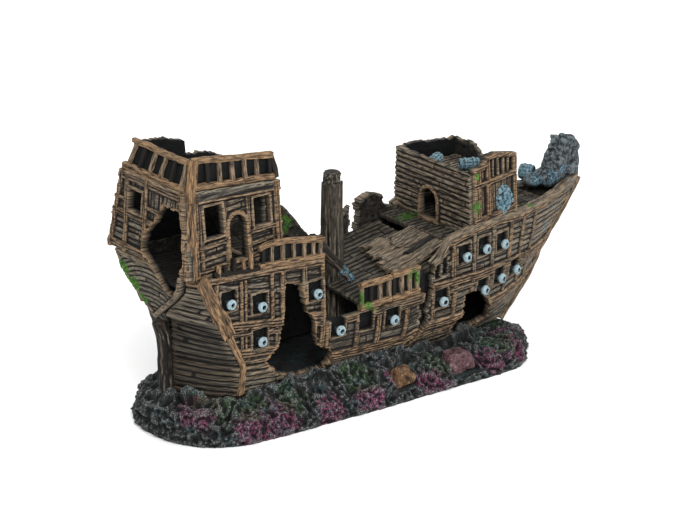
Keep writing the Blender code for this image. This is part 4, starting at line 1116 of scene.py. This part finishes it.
def make_transom():
    y, z = grid((-34.6, 92.3), (34.6, TRANSOM_TOP), FINE_STEP)
    add_panel("transom_panel", y, z, transom_place, AFTWARD, TRANSOM_THICK, transom_relief,
              solid=transom_solid, seed=60)
    y, z = grid((-28.2, 61.8), (28.2, 91.9), FINE_STEP)
    add_panel("counter_panel", y, z, counter_place, AFTWARD, TRANSOM_THICK, counter_relief,
              solid=counter_solid, seed=70)


def castle_half(x, z):
    return along(CASTLE_HALF, z) + 0 * x


def slanted(foot, top, low_x, high_x, fore):
    """Grid of a castle side whose aft edge leans from low_x at the foot to high_x at the top."""
    columns, rows = int((fore - low_x) / STEP), int(50 / STEP)
    reach = np.linspace(0, 1, columns + 1)[:, None]
    rise = np.linspace(0, 1, rows + 1)[None, :]
    base = low_x + (fore - low_x) * reach
    x = base + (high_x - low_x) * (1 - reach) ** 1.3 * rise
    low, high = along(foot, base) + GAP, along(top, x)
    return x, low + (high - low) * rise


def castle_openings(x, z):
    """Signed distances to the two windows and the door of the starboard castle side."""
    aft, fore = (boxed(x, z, *window) for window in CASTLE_WINDOWS)
    return aft, fore, arched(x, z, *CASTLE_DOOR)


def castle_relief(x, z):
    """Starboard castle side: posts, beams, a plain frieze, two windows and an arched door."""
    fall = z - 0.06 * (x + 110)
    layers = planked(x, fall, 3.0, 81, 0.2, butt=38)
    layers[TINT] = layers[TINT] + 0.3 * (layers[TONE] > 0.7)
    aft, fore, door = castle_openings(x, z)
    layers = beams(layers, x, CASTLE_POSTS, 0.6, 0.55, grain(z, x, 82))
    layers = beams(layers, fall, CASTLE_BEAMS, 0.7, 0.5, grain(x, z, 83))
    frieze = along(CASTLE_FRIEZE, x)
    layers = lay(layers, frieze - z, 1.1, 0.05, grain(x, z, 84, 0.12, 3.0))
    layers = lay(layers, np.abs(z - frieze) - 0.6, 1.5, 0.7, 0)
    for opening in (aft, fore):
        layers = lay(layers, opening - 1.2, 0.8, 0.55, grain(z, x, 85, 0.08))
    wedge = np.arctan2(z - 112.2, x + 111.4)
    stones = -0.45 * np.exp(-((np.mod(wedge / 0.45, 1) - 0.5) / 0.09) ** 2)
    layers = lay(layers, door - 2.0, 1.0, 0.8, stones)
    layers = lay(layers, np.abs(x + 86.4) - 1.9, 1.3, 0.9, grain(z, x, 86))
    layers = lay(layers, np.abs(x + 138.2 - 0.05 * (z - 100)) - 2.6, 1.0, 0.7, grain(z, x, 87))
    return layers


def castle_solid(x, z):
    aft, fore, door = castle_openings(x, z)
    return np.minimum(np.minimum(aft, fore), door)


def port_castle_relief(x, z):
    """Port castle side, with two blind windows."""
    layers = planked(x, z, 3.4, 91, 0.2, butt=23)
    for window in PORT_WINDOWS:
        opening = boxed(x, z, *window)
        layers = sink(lay(layers, opening - 1.3, 0.8, 0.5, grain(z, x, 92)), opening, 1.4)
    layers = beams(layers, x, [(at, 1.3) for at in (-136, -115.5, -95, -78)], 0.9, 0.7, grain(z, x, 93))
    layers = beams(layers, z, [(level, 1.3) for level in (104.5, 129.5)], 0.8, 0.6, grain(x, z, 94))
    edge = along(PORT_CASTLE_TOP, x) - z
    layers[TINT] = np.maximum(layers[TINT], 0.6 * np.exp(-(edge / 1.5) ** 2))
    return layers


def port_castle_solid(x, z):
    ragged = 0.7 * rough(flat_points(x, z, 4), (2.0, 1.6, 9), 2, 95)
    return along(PORT_CASTLE_TOP, x) - z + (ragged - 0.7) * (x > -132)


def bulkhead_relief(door, seed):
    """Relief of a transverse wall: heavy level planks and a framed arched door."""
    def relief(y, z):
        layers = planked(y, z, 2.9, seed, 0.25, butt=57, seam=0.7)
        layers[HEIGHT] = layers[HEIGHT] * 1.1
        return lay(layers, arched(y, z, *door) - 1.8, 0.9, 0.7, grain(z, y, seed + 1, 0.1))
    return relief


def make_castle():
    # Each wall's inner side carries painted shade; the port wall has little of it forward of x = -82.
    x, z = slanted(STERN_SHEER, CASTLE_TOP, -141.9, -138.2, CASTLE_FORE)
    add_panel("castle_wall_starboard", x, z, upright(STARBOARD, castle_half), (0, STARBOARD, 0), CABIN_WALL,
              castle_relief, solid=castle_solid, seed=80)
    x, z = slanted(PORT_STERN_SHEER, PORT_CASTLE_TOP, -141.9, -133.6, -61.0)
    add_panel("castle_wall_port", x, z, upright(PORT, castle_half), (0, PORT, 0), CABIN_WALL,
              port_castle_relief, solid=port_castle_solid, seed=90, back_gloom=np.where(x > -82, 0.15, 1.0))
    outline = ((-24.4, 83), (-24.4, 117), (-23.6, 127), (-10, 128.5), (6, 126), (18, 123), (23.8, 124),
               (24.4, 117), (24.4, 83))
    door = (0, 14, 80, 106)

    def solid(y, z):
        ragged = 0.8 * rough(flat_points(y, z, 2), 2.2, 2, 97) * (z > 119)
        return np.minimum(-outside(y, z, outline) + ragged, np.where(z > 85, arched(y, z, *door), 9))

    y, z = grid((-24.4, 83), (24.4, 128.8))
    add_panel("castle_front_wall", y, z, crosswise(-90.0), FORWARD, 2.5, bulkhead_relief(door, 96),
              solid=solid, back_gloom=0.6)


# ---- rails ---------------------------------------------------------------------------------------

def rail_run(stations, foot, top, side_at, posts, seed, width=2.4, foot_deep=3.0, cap_deep=3.0, post=1.5):
    """Foot beam, cap and balusters along stations. side_at(x, z) gives the crosswise place."""
    parts = []
    for line, deep, key in ((lambda x: foot(x) + foot_deep / 2, foot_deep, 1),
                            (lambda x: top(x) - cap_deep / 2, cap_deep, 2)):
        path = [(x, side_at(x, line(x)), line(x)) for x in stations]
        parts.append(bar(path, (width + 0.7, deep), seed + key, wear=0.28, trim=0.9, ragged=0.4))
    for k, x in enumerate(posts):
        low, high = foot(x) + 1.5, top(x) - 1.5
        path = [(x, side_at(x, low), low), (x, side_at(x, high), high)]
        parts.append(bar(path, (post, post), seed + 10 + k, up=ACROSS, grooves=1, tone=0.6, trim=0.45))
    ends = np.linspace(posts[0], posts[-1], 5)
    middle = [(x, side_at(x, (foot(x) + top(x)) / 2) + 1.1, (foot(x) + top(x)) / 2) for x in ends]
    tall = [top(x) - foot(x) - 2.5 for x in (ends[0], ends[-1])]
    parts.append(backing(middle, (0.8, tall[0]), seed + 40, UPWARD, tall[1] / tall[0]))
    return joined(parts)


def backing(path, size, seed, up, taper):
    """A sheet of painted shade behind a row of balusters."""
    part = bar(path, size, seed, up=up, wear=0.04, grooves=0, taper=(1, taper), power=12)
    # The whole sheet is painted shade.
    part["gloom"][:] = 1.0
    return part


def make_poop_rails():
    """The rails round the top of the stern castle, with its corner timbers."""
    def foot(x):
        return float(along(CASTLE_TOP, x)) + 0.2

    def top(x):
        return float(along(POOP_RAIL_TOP, x)) + 0.4

    def side_at(x, z):
        return -(float(along(CASTLE_HALF, z)) - 1.0)

    stations = np.linspace(-135.4, -86.5, 12)
    rail = [rail_run(stations, foot, top, side_at, np.linspace(-134.0, -88.5, 7), 400, post=2.1)]
    corner_high = [(-139.0, -27.0, 127), (-137.2, -26.0, 136), (-134.6, -24.8, 149.4)]
    corner_low = [(-141.6, -31.2, 91), (-140.6, -29.4, 108), (-139.0, -27.2, 129)]
    fore_end = [(x, side_at(x, level), z)
                for x, level, z in ((-84.9, 131, 130.4), (-85.6, 136, 136), (-87.6, 143, 142.4))]
    rail.append(bar(corner_high, (4.6, 4.2), 420, up=ACROSS, trim=1.0, wear=0.4))
    rail.append(bar(corner_low, (5.4, 4.4), 423, up=ACROSS, trim=0.95, wear=0.5, ragged=0.8))
    rail.append(bar(fore_end, (3.6, 2.6), 424, up=ACROSS, trim=1.0, tone=1.0, wear=0.3))
    add_piece("poop_rail_starboard", joined(rail), TRIM)
    aft = TRANSOM_X + TRANSOM_RAKE * (TRANSOM_TOP - WING_Z) + 1.2

    def across(z):
        return aft + RAIL_RAKE * (z - TRANSOM_TOP)

    parts = []
    for z, half, deep in ((135.6, 25.6, 3.2), (POOP_TOP - 1.3, 23.6, 3.0)):
        sag = [(across(z), y, z - 0.0008 * (half ** 2 - y * y)) for y in np.linspace(-half, half, 9)]
        parts.append(bar(sag, (3.0, deep), 430 + int(z), wear=0.3, trim=0.9))
    for k, y in enumerate(np.linspace(-22, 22, 6)):
        parts.append(bar([(across(136.5), y, 136.5), (across(147), y * 0.93, 147)], (2.2, 2.0), 440 + k,
                         up=FORWARD, wear=0.25, trim=0.5, grooves=1))
    ground = [(across(z) + 1.2, 0, z) for z in (136.5, 147.2)]
    parts.append(backing(ground, (46, 0.8), 450, FORWARD, 0.94))
    add_piece("poop_rail_transom", joined(parts), TRIM)


def make_deck_rails():
    """The quarterdeck rail with its broken stumps, and the two waist rails."""
    def foot(x):
        return float(along(STERN_SHEER, x)) + 0.2

    def top(x):
        return float(along(((-101, 99.7), (-97, 101), (-86, 100.7), (-73, 98), (-62, 96)), x))

    posts = (-99.0, -93.5, -86.5, -79.6, -73.0, -67.2, -62.6)
    rail = [rail_run(np.linspace(-101.5, -61, 10), foot, top, lambda x, z: -32.8, posts, 500, post=2.0)]
    broken_foot = [(-129, -32.6, 91.2), (-118, -32.8, 89.6), (-100, -32.8, 88.2)]
    rail.append(bar(broken_foot, (2.8, 2.4), 520, trim=0.9, wear=0.4, ragged=0.8))
    stumps = ((-126.5, 5.5), (-122.6, 3.6), (-117.0, 6.5), (-110.6, 4.4), (-106.4, 7.6))
    for k, (x, tall) in enumerate(stumps):
        lean = 0.8 * (float(chance(k, 52)) - 0.5)
        rail.append(bar([(x, -32.8, 89), (x + lean, -32.6, 90.4 + tall)], (2.0, 2.2), 530 + k, up=ACROSS,
                        wear=0.4, trim=0.9, ragged=1.1))
    add_piece("quarter_rail_starboard", joined(rail), TRIM)
    for name, start, end, level, seed in (("waist_rail_aft", -36.5, -16.0, 64.5, 540),
                                          ("waist_rail_fore", -15.3, 3.0, 65.0, 560)):
        half = float(half_breadth(0, 49)) - 1.2
        posts = np.linspace(start + 1.2, end - 1.2, 4)
        made = rail_run(np.linspace(start, end, 6), lambda x: 49.4, lambda x, level=level: level,
                        lambda x, z, half=half: -half, posts, seed, post=2.2, foot_deep=3.4)
        add_piece(name, made, TRIM)


# ---- decks ---------------------------------------------------------------------------------------

def make_deck(name, ends, top, tilt, seed, solid=None, roofed=-200.0):
    """A planked deck between two lengths, as wide as the hull lets it be, with painted shade over it that
    deepens aft of roofed.
    """
    width = 3.6
    columns, rows = int((ends[1] - ends[0]) / 0.6), int(56 / 0.6)
    x = np.broadcast_to(np.linspace(ends[0], ends[1], columns + 1)[:, None], (columns + 1, rows + 1))
    level = along(top, x)
    half = np.minimum(half_breadth(x, level), half_breadth(x, level - 6.4)) - WALL - 0.4
    y = half * np.linspace(-1, 1, rows + 1)[None, :]

    def relief(u, v):
        layers = planked(u, v, width, seed, 0.1, butt=27, seam=0.8)
        # Painted shade over the deck, deeper under the roof.
        layers[SHADE_LAYER] = 0.5 + 0.4 * soft(roofed - u, 0, 6)
        return layers

    add_panel(name, x, y, lambda u, v: np.stack((u, v, along(top, u) + tilt * v), -1), UPWARD, 2.4, relief,
              solid=solid, seed=seed, back_gloom=0.9)


def make_decks():
    make_deck("quarterdeck", (-140.3, -61.2), QUARTERDECK_TOP, 0, 601, roofed=-88.0)
    make_deck("main_deck", (-36, 26), MAIN_DECK_TOP, DECK_TILT, 602,
              lambda u, v: np.hypot(u - MAST_X, v) - 6.6)
    make_deck("foredeck", (26.8, 112), ((0, FOREDECK_TOP), (200, FOREDECK_TOP)), 0, 603)


def make_torn_planks():
    """Loose boards on the main deck, and boards that lean up to the foredeck."""
    parts = []
    for k in range(9):
        y = -23.5 + 3.9 * k
        start = -7 + 7 * float(chance(k, 61)) + 0.2 * y
        end = 15 + 11 * float(chance(k, 62)) - 0.25 * abs(y + 10)
        lift = 2.3 + 0.8 * float(chance(k, 63))
        path = [(x, y + 0.05 * (x - 8), float(along(MAIN_DECK_TOP, x)) + DECK_TILT * y + lift)
                for x in (start, (start + end) / 2, end)]
        tone = 0.35 + 0.5 * float(chance(k, 64))
        parts.append(bar(path, (3.5, 2.2), 610 + k, wear=0.3, ragged=1.6, tone=tone, trim=0.3))
    for k in range(7):
        y = -24 + 4.4 * k
        low = 9 + 5 * float(chance(k, 65))
        path = [(low, y + 2 * float(chance(k, 66)), float(along(MAIN_DECK_TOP, low)) + DECK_TILT * y + 3.4),
                (27.5, y, 70.5 + DECK_TILT * y * 0.3)]
        tone = 0.3 + 0.5 * float(chance(k, 67))
        parts.append(bar(path, (4.0, 1.8), 630 + k, wear=0.35, ragged=1.6, tone=tone, trim=0.25))
    add_piece("torn_deck_planks", joined(parts), TRIM)


# ---- forecastle ----------------------------------------------------------------------------------

def cabin_half(x, z):
    return half_breadth(x, 75 + 0 * z) - 0.5 - CABIN_BATTER * (z - CABIN_FOOT)


def grille_relief(x, z):
    """Starboard forecastle side, with a row of slots between bars."""
    layers = planked(z, x, 4.6, 701, 0.45, butt=60)
    layers = beams(layers, x, ((44.5, 2.3), (53.0, 1.4), (75.6, 1.3)), 1.2, 0.85, grain(z, x, 702))
    layers = beams(layers, z, ((98.4, 1.4), (79.2, 1.8)), 1.0, 0.7, grain(x, z, 703))
    layers = lay(layers, np.abs(z - along(GRILLE_TOP, x) + 1.4) - 1.4, 1.1, 0.8, grain(x, z, 704))
    edges = np.linspace(54, 75, 6)
    for start, end in zip(edges, edges[1:]):
        middle = (start + end) / 2
        top = float(along(GRILLE_TOP, middle)) - 2.5
        layers = sink(layers, boxed(x, z, (middle - 1.2, 100), (middle + 1.2, top)), 1.7)
    return layers


def make_forecastle_sides():
    columns, rows = int((CABIN_FORE - CABIN_AFT) / FINE_STEP), int(36 / FINE_STEP)
    x = np.broadcast_to(np.linspace(CABIN_AFT, CABIN_FORE, columns + 1)[:, None], (columns + 1, rows + 1))
    z = CABIN_FOOT + (along(GRILLE_TOP, x) - CABIN_FOOT) * np.linspace(0, 1, rows + 1)[None, :]
    add_piece("forecastle_grille_wall",
              panel(x, z, upright(STARBOARD, cabin_half), (0, STARBOARD, 0), CABIN_WALL, grille_relief,
                    seed=700), TRIM)
    x, z = grid((CABIN_AFT, CABIN_FOOT), (74.7, 107.4))

    def port_relief(u, v):
        layers = planked(u, v, 4.0, 711, 0.25, butt=29, seam=0.8)
        return beams(layers, u, ((44, 1.4), (59, 1.4), (72.5, 1.4)), 1.0, 0.7, grain(v, u, 712))

    add_panel("forecastle_port_wall", x, z, upright(PORT, cabin_half), (0, PORT, 0), CABIN_WALL, port_relief,
              solid=lambda u, v: along(PORT_CABIN_TOP, u) - v + 0.8 * rough(flat_points(u, v), 2.4, 2, 713),
              seed=710)


def make_forecastle_ends():
    def aft_solid(u, v):
        ragged = 0.5 * rough(flat_points(u, v, 3), 2.4, 2, 721) * (v > 100)
        return np.minimum(-outside(u, v, FORECASTLE_AFT) + ragged, arched(u, v, *FORECASTLE_DOOR))

    # Both walls carry painted shade on their inner sides.
    y, z = grid((-31, 72), (31, 107))
    add_panel("forecastle_aft_wall", y, z, crosswise(39.0), AFTWARD, 2.6,
              bulkhead_relief(FORECASTLE_DOOR, 720), solid=aft_solid, back_gloom=0.7)

    def fore_solid(u, v):
        return -outside(u, v, FORECASTLE_FORE) + 0.6 * rough(flat_points(u, v, 3), 2.4, 2, 731)

    y, z = grid((-4, 72), (24.6, 106.5))
    add_panel("forecastle_fore_wall", y, z, crosswise(77.6), FORWARD, 2.6,
              bulkhead_relief((12, 7, 60, 70), 730), solid=fore_solid, back_gloom=0.5)


def make_forecastle_roof():
    columns, rows = 64, 92
    x = np.broadcast_to(np.linspace(CABIN_AFT + 0.2, 74.4, columns + 1)[:, None], (columns + 1, rows + 1))
    y = (cabin_half(x, ROOF_Z + 0 * x) - 3.6) * np.linspace(-1, 1, rows + 1)[None, :]

    add_panel("forecastle_roof", x, y, lambda u, v: np.stack((u, v, ROOF_Z + 0 * u), -1), UPWARD, 2.0,
              lambda u, v: planked(u, v, 3.2, 741, 0.15, butt=27, seam=0.8), seed=740)


# ---- mast, figurehead and deck gear --------------------------------------------------------------

def make_mast():
    """The split mast stump, and the spar that fell from it."""
    low = SHELF_TOP + GAP
    heights = np.arange(low, MAST_TOP - 5.0, 0.5)
    sides = 84
    turn = np.linspace(0, 2 * np.pi, sides, endpoint=False)
    grid_z, grid_turn = np.meshgrid(heights, turn, indexing="ij")
    sample = np.stack((np.cos(grid_turn) * 6, np.sin(grid_turn) * 6, grid_z), -1)
    splits = soft(noise(sample, (1.5, 1.5, 26), 802), 0.25, 0.7)
    radius = 6.1 + 0.5 * noise(sample, (4, 4, 30), 801) - 0.9 * splits
    radius += 0.22 * noise(sample, (0.9, 0.9, 8), 803) - 0.4 * soft(grid_z, 60, 110)
    ends = MAST_TOP - 5.0 - 1.5 + 1.5 * noise(sample[-1:], (2.2, 2.2, 9), 804)
    grid_z = low + (grid_z - low) * (ends - low) / (heights[-1] - low)
    points = np.stack((MAST_X + radius * np.cos(grid_turn), radius * np.sin(grid_turn), grid_z), -1)
    quads, first, last = sleeve(*points.shape[:2])
    flow = np.stack((grid_z, grid_turn * 6), -1).reshape(-1, 2)
    trunk = part_of(points.reshape(-1, 3), quads, flow, (first[::-1], last), tone=0.45, trim=0.1)
    stub = lathe(((0, 4.6), (7.2, 4.4), (9.4, 4.6), (10.6, 3.6), (11.0, 1.5)),
                 pointing((MAST_X, 0, MAST_TOP - 11), (0, 0, 1)), 48, 0.4, 805, wear=0.45, tone=0.1)
    add_piece("mast_stump", joined([turned_out(trunk), stub]), TIMBER, depth=0.3)
    path = [(-57 + 0.66 * d, -18.5 - 0.06 * d, 90 - 0.75 * d) for d in (0, 9, 18, 27, 36)]
    spar = bar(path, (6.4, 6.0), 810, up=ACROSS, taper=(1, 0.8), wear=0.6, ragged=1.6, power=2.2, grooves=0,
               trim=0.5, tone=0.9)
    add_piece("fallen_spar", spar, TRIM)


# Neck, head and muzzle: (length, height, half thickness, half width).
BEAST_SPINE = ((124.0, 79, 7.5, 5.2), (127.0, 82, 9.0, 6.3), (129.5, 88, 8.8, 6.4), (131.5, 93, 7.4, 5.8),
               (134.5, 96, 5.4, 4.8), (138.5, 96, 4.4, 4.2), (141.5, 93.5, 3.6, 3.4), (143.0, 91, 2.6, 2.7))
# Chest, jaw and body: (centre, radii, tilt).
BEAST_LUMPS = (((138.6, 0, 84.0), (6.6, 4.4, 9.2), 6), ((140.4, 0, 78.8), (4.6, 3.4, 4.2), 0),
               ((122.0, 1.5, 79.4), (7.5, 5.6, 5.2), 0), ((115.5, 3.5, 77.6), (6.0, 5.2, 4.0), 0))
# Brows, ears, nostrils, eyes and two folds on each side: (centre, radii, tilt).
BEAST_PAIRS = (((136.2, 3.1, 99.2), (2.8, 1.5, 1.3), 20), ((130.4, 4.2, 99.0), (3.2, 1.2, 1.7), 35),
               ((143.6, 1.5, 93.2), (1.3, 1.0, 1.1), 0), ((138.0, 3.8, 96.4), (1.3, 0.9, 1.2), 0),
               ((128.0, 5.8, 86.5), (2.8, 1.5, 4.4), -16), ((136.0, 4.6, 82.0), (3.4, 1.3, 3.6), 20))


def make_figurehead():
    """A generic carved sea beast with a row of crest knobs down its neck."""
    balls = []
    for (ax, az, at, ah), (bx, bz, bt, bh) in zip(BEAST_SPINE, BEAST_SPINE[1:]):
        for part in (0, 0.25, 0.5, 0.75):
            thick = (at + (bt - at) * part) * 0.9
            balls.append(ball((ax + (bx - ax) * part, 0, az + (bz - az) * part),
                              (thick, ah + (bh - ah) * part, thick)))
    balls += [ball(*lump) for lump in BEAST_LUMPS]
    for side in (-1, 1):
        balls += [ball((x, side * y, z), radii, tilt) for (x, y, z), radii, tilt in BEAST_PAIRS]
    for k in range(7):
        angle = math.radians(206 - 20 * k)
        crest = (131.5 + 9.2 * math.cos(angle), 0, 90.5 + 10.4 * math.sin(angle))
        balls.append(ball(crest, (1.6, 1.0, 1.6)))
    made = blob(balls, 0.5, 820, wear=0.34, size=2.2)
    add_piece("figurehead", made, BEAST, depth=0.3)


def hooped(length, end, belly, hoops):
    """Profile of a cask with raised hoops."""
    profile = [(-length / 2 + 0.6, 0.2), (-length / 2 + 0.6, end - 0.7), (-length / 2, end - 0.5)]
    for away in np.linspace(-length / 2, length / 2, 41):
        bulge = belly - (belly - end) * (2 * away / length) ** 2
        lift = 0.35 if any(abs(away - hoop * length) < 0.55 for hoop in hoops) else 0.0
        profile.append((away, bulge + lift))
    profile += [(length / 2, end - 0.5), (length / 2 - 0.6, end - 0.7), (length / 2 - 0.6, 0.2)]
    return profile


def make_deck_gear():
    """Casks, an encrusted shell on the forecastle side, and the lantern at the port quarter."""
    hoops = (-0.42, -0.2, 0.2, 0.42)
    barrels = (((52, 12, 100.4), (1, 0.6, 0)), ((62, -4, 100.4), (1, -0.5, 0)))
    for number, (place, run) in enumerate(barrels, 1):
        made = lathe(hooped(11, 2.5, 3.2, hoops), pointing(place, run), 48, 0.3, 830 + number, staves=12)
        add_piece(f"deck_barrel_{number}", made, PATINA)
    cask_place = pointing((118, 11.5, 79.6), (0.5, -1, 0))
    made = lathe(hooped(8, 3.6, 4.5, hoops), cask_place, 54, 0.3, 834, 0.2, staves=14)
    add_piece("encrusted_cask", made, PATINA)
    x, z = 66.0, 85.8
    seat_y = -float(cabin_half(np.array(x), np.array(z)))
    crust = [ball((x, seat_y, z), (6.0, 2.4, 8.0))]
    for k in range(16):
        turn = k * 2.4
        reach = 1.2 + 0.3 * k
        centre = (x + reach * math.cos(turn), seat_y - 1.6 + 0.06 * k, z + 1.25 * reach * math.sin(turn))
        crust.append(ball(centre, (1.6, 1.6, 1.6), steps=8))
    add_piece("encrusted_shell", blob(crust, 0.42, 840, wear=0.4, size=1.8), PATINA)
    profile = ((0, 0.3), (0, 1.4), (1.2, 1.8), (1.8, 3.3), (2.6, 3.6), (3.4, 3.0), (8.2, 3.0), (9.0, 3.6),
               (9.6, 3.2), (11, 1.4), (11.9, 0.9), (12.2, 0.2))
    lantern = lathe(profile, pointing((-137.5, 35.6, 98), UPWARD), 40, 0.35, 845, 0.2, staves=6, trim=0.7)
    add_piece("quarter_lantern", lantern, TRIM)


# ---- rock base -----------------------------------------------------------------------------------

def node_mesh(node, voxel):
    """A CAD node as one even quad mesh, in millimetres."""
    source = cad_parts[node]
    points = [source.matrix_world @ corner.co / MM for corner in source.data.vertices]
    return remeshed(points, [tuple(face.vertices) for face in source.data.polygons], voxel)


STONE_SEATS = ((-22, -8, 36, 6), (14, 32, 34, 4.5))      # (aft, fore, inner side, foot)


def make_base():
    """The rock, built up round the hull, and plain in the bore, the chimney and the stone seats."""
    points, quads = node_mesh("base_rock", 0.65)
    normals = point_normals(points, quads)
    x, y, z = points.T
    bore = np.hypot(x - AIR_X, z - AIR_Z)
    tunnel = np.where(y > BORE_END, bore, 99)
    chimney = np.maximum(np.abs(x - AIR_X) - CHIMNEY_HALF[0], np.abs(y) - CHIMNEY_HALF[1])
    free = soft(tunnel, 7.2, 9.5) * soft(chimney, 0.6, 3.0) * soft(z, 0.1, 1.5) * (normals[:, 2] > -0.6)
    for low, high, inner, foot in STONE_SEATS:
        seat = boxed(x, -y, (low, inner), (high, 70))
        free = free * np.where(z > foot - 1, soft(seat, 0.3, 2.0), 1)
    hull_half = np.where(x < -134, 0, half_breadth(np.clip(x, -130, 92), along(HULL_FOOT, x) + 2.0))
    outer = np.clip(soft(np.abs(y) - hull_half, -1.0, 2.5), 0.12, 1)
    crag = 1 - 2 * np.abs(rough(points, 7.0, 3, 901))
    splinter = 1 - 2 * np.abs(noise(points, (2.6, 2.6, 3.6), 905))
    lump = 1.7 * crag + 1.1 * rough(points, (4.2, 4.2, 2.6), 3, 902) + 0.35 * splinter
    lump = lump + 0.5 * rough(points, 1.4, 2, 903)
    mound = 7.4 * np.exp(-((np.abs(y) - hull_half - 3.2) / 4.6) ** 2)
    mound = mound * (1 - soft(x, 52, 70)) * soft(x, -145, -138)
    points = points + normals * (free * outer * lump)[:, None]
    points[:, 2] += free * outer * (normals[:, 2] > 0.2) * mound * (0.75 + 0.8 * noise(points, 8, 904))
    points[:, 2] = np.maximum(points[:, 2], 0)
    made = part_of(points, quads, points[:, :2])
    add_piece("base_rock", made, ROCK, depth=0.45, rounds=5)


def make_stones():
    """The two coloured stones set into the rock."""
    for name, finish, seed in (("base_stone_brown", BROWN_STONE, 911), ("base_stone_pink", PINK_STONE, 912)):
        points, quads = node_mesh(name, 0.45)
        points = evened(points, quads, 8)
        normals = point_normals(points, quads)
        lump = 0.9 * rough(points, 5.0, 4, seed)
        points = points + normals * lump[:, None]
        add_piece(name, part_of(points, quads, points[:, :2]), finish, depth=0.3)


# ---- air cartridge -------------------------------------------------------------------------------

def ring_part(profile, sides, step, wear, seed):
    """A turned ring with a hole through it: the profile goes round its section and closes."""
    axis = pointing((AIR_X, 0, AIR_Z), ACROSS)
    made = lathe(tuple(profile) + (profile[0],), axis, sides, step, seed, wear)
    count = len(made["points"])
    quads = np.where(made["quads"] >= count - sides, made["quads"] - (count - sides), made["quads"])
    made["quads"], made["caps"] = quads, []
    kept = count - sides
    for key in ("points", "flow", "tone", "trim", "gloom"):
        made[key] = made[key][:kept]
    return turned_out(made)


def make_cartridge():
    """Air stone, tube, plug and barb, all turned about the bore's axis."""
    axis = pointing((AIR_X, 0, AIR_Z), ACROSS)
    stone = ((-9, 0.3), (-9, 2.9), (-8.4, 3.6), (-7.6, 3.9), (9.6, 3.9), (10.5, 3.4), (10.9, 2.8),
             (10.9, 0.3))
    add_piece("air_stone", lathe(stone, axis, 56, 0.4, 921, wear=0.12), CERAMIC, CARTRIDGE)
    tube = ((11.3, 1.2), (11.3, 2.0), (47.0, 2.0), (47.0, 1.2))
    add_piece("air_tube", ring_part(tube, 40, 0.6, 0.01, 922), TUBE, CARTRIDGE)
    bush = [(37.0, 2.3), (37.0, 5.9), (37.5, 6.3)]
    for k in range(4):
        bush += [(38.6 + 2 * k, 6.35), (38.9 + 2 * k, 5.9), (39.5 + 2 * k, 5.9), (39.8 + 2 * k, 6.35)]
    bush += [(46.4, 6.3), (46.8, 5.9), (46.8, 2.3)]
    add_piece("tube_bush", ring_part(bush, 56, 0.4, 0.02, 923), RUBBER, CARTRIDGE)
    low = 47.3
    barb = [(low, 1.0), (low, 3.4), (low + 0.3, 3.6), (low + 0.9, 3.6), (low + 1.2, 3.4), (low + 1.3, 1.9),
            (low + 2.4, 1.9), (low + 2.5, 2.6), (low + 4.1, 2.0), (low + 4.2, 2.6), (low + 6.1, 1.8),
            (low + 6.2, 1.0)]
    add_piece("inlet_barb", ring_part(barb, 40, 0.3, 0.01, 924), TUBE, CARTRIDGE)


# ---- studio --------------------------------------------------------------------------------------

# Soft lights in metres and watts: (name, place, aim, size, power).
STUDIO_LIGHTS = (("key", (-0.55, -0.9, 0.95), (0, 0, 0.06), 0.7, 14),
                 ("fill", (0.9, -0.8, 0.6), (0, 0, 0.06), 0.9, 6),
                 ("back", (0.2, 1.0, 0.9), (0, 0, 0.08), 0.9, 6))
CAMERA_PLACE = (-0.9434, -1.1363, 0.6113)
CAMERA_TURN = (math.radians(69.5), 0, math.radians(-39.2))
CAMERA_LENS = 154.3


def area_light(name, place, aim, size, power):
    lamp = bpy.data.lights.new(name, "AREA")
    lamp.shape = "DISK"
    lamp.size = size
    lamp.energy = power
    made = bpy.data.objects.new(name, lamp)
    made.location = place
    made.rotation_euler = (Vector(place) - Vector(aim)).to_track_quat("Z", "Y").to_euler()
    bpy.context.scene.collection.objects.link(made)


def make_studio():
    """Pale floor, white world, soft lights and the camera."""
    mesh = bpy.data.meshes.new("floor")
    mesh.from_pydata([(-6, -6, 0), (6, -6, 0), (6, 6, 0), (-6, 6, 0)], [], [(0, 1, 2, 3)])
    floor = bpy.data.objects.new("floor", mesh)
    bpy.context.scene.collection.objects.link(floor)
    n = Nodes("pale_floor", 0.9)
    shade = n.noise(n.place, 400.0, 2, 0.5)
    mesh.materials.append(n.finish(n.mix(shade, (0.90, 0.90, 0.90), (0.93, 0.93, 0.93)), shade, 0.01, 0.1))
    world = bpy.data.worlds.new("studio")
    world.use_nodes = True
    world.node_tree.nodes["Background"].inputs["Color"].default_value = (1.0, 1.0, 1.0, 1.0)
    world.node_tree.nodes["Background"].inputs["Strength"].default_value = 0.9
    bpy.context.scene.world = world
    bpy.context.scene.view_settings.view_transform = "Standard"
    for light in STUDIO_LIGHTS:
        area_light(*light)
    lens = bpy.data.cameras.new("camera")
    lens.lens = CAMERA_LENS
    lens.sensor_width = 36
    lens.clip_end = 20
    camera = bpy.data.objects.new("camera", lens)
    camera.location = CAMERA_PLACE
    camera.rotation_euler = CAMERA_TURN
    bpy.context.scene.collection.objects.link(camera)
    bpy.context.scene.camera = camera


MAKERS = (make_studio, make_hull, make_hull_trims, make_guns, make_posts, make_transom, make_castle,
          make_poop_rails, make_deck_rails, make_decks, make_torn_planks, make_forecastle_sides,
          make_forecastle_ends, make_forecastle_roof, make_mast, make_figurehead, make_deck_gear,
          make_base, make_stones, make_cartridge)
for make in MAKERS:
    make()
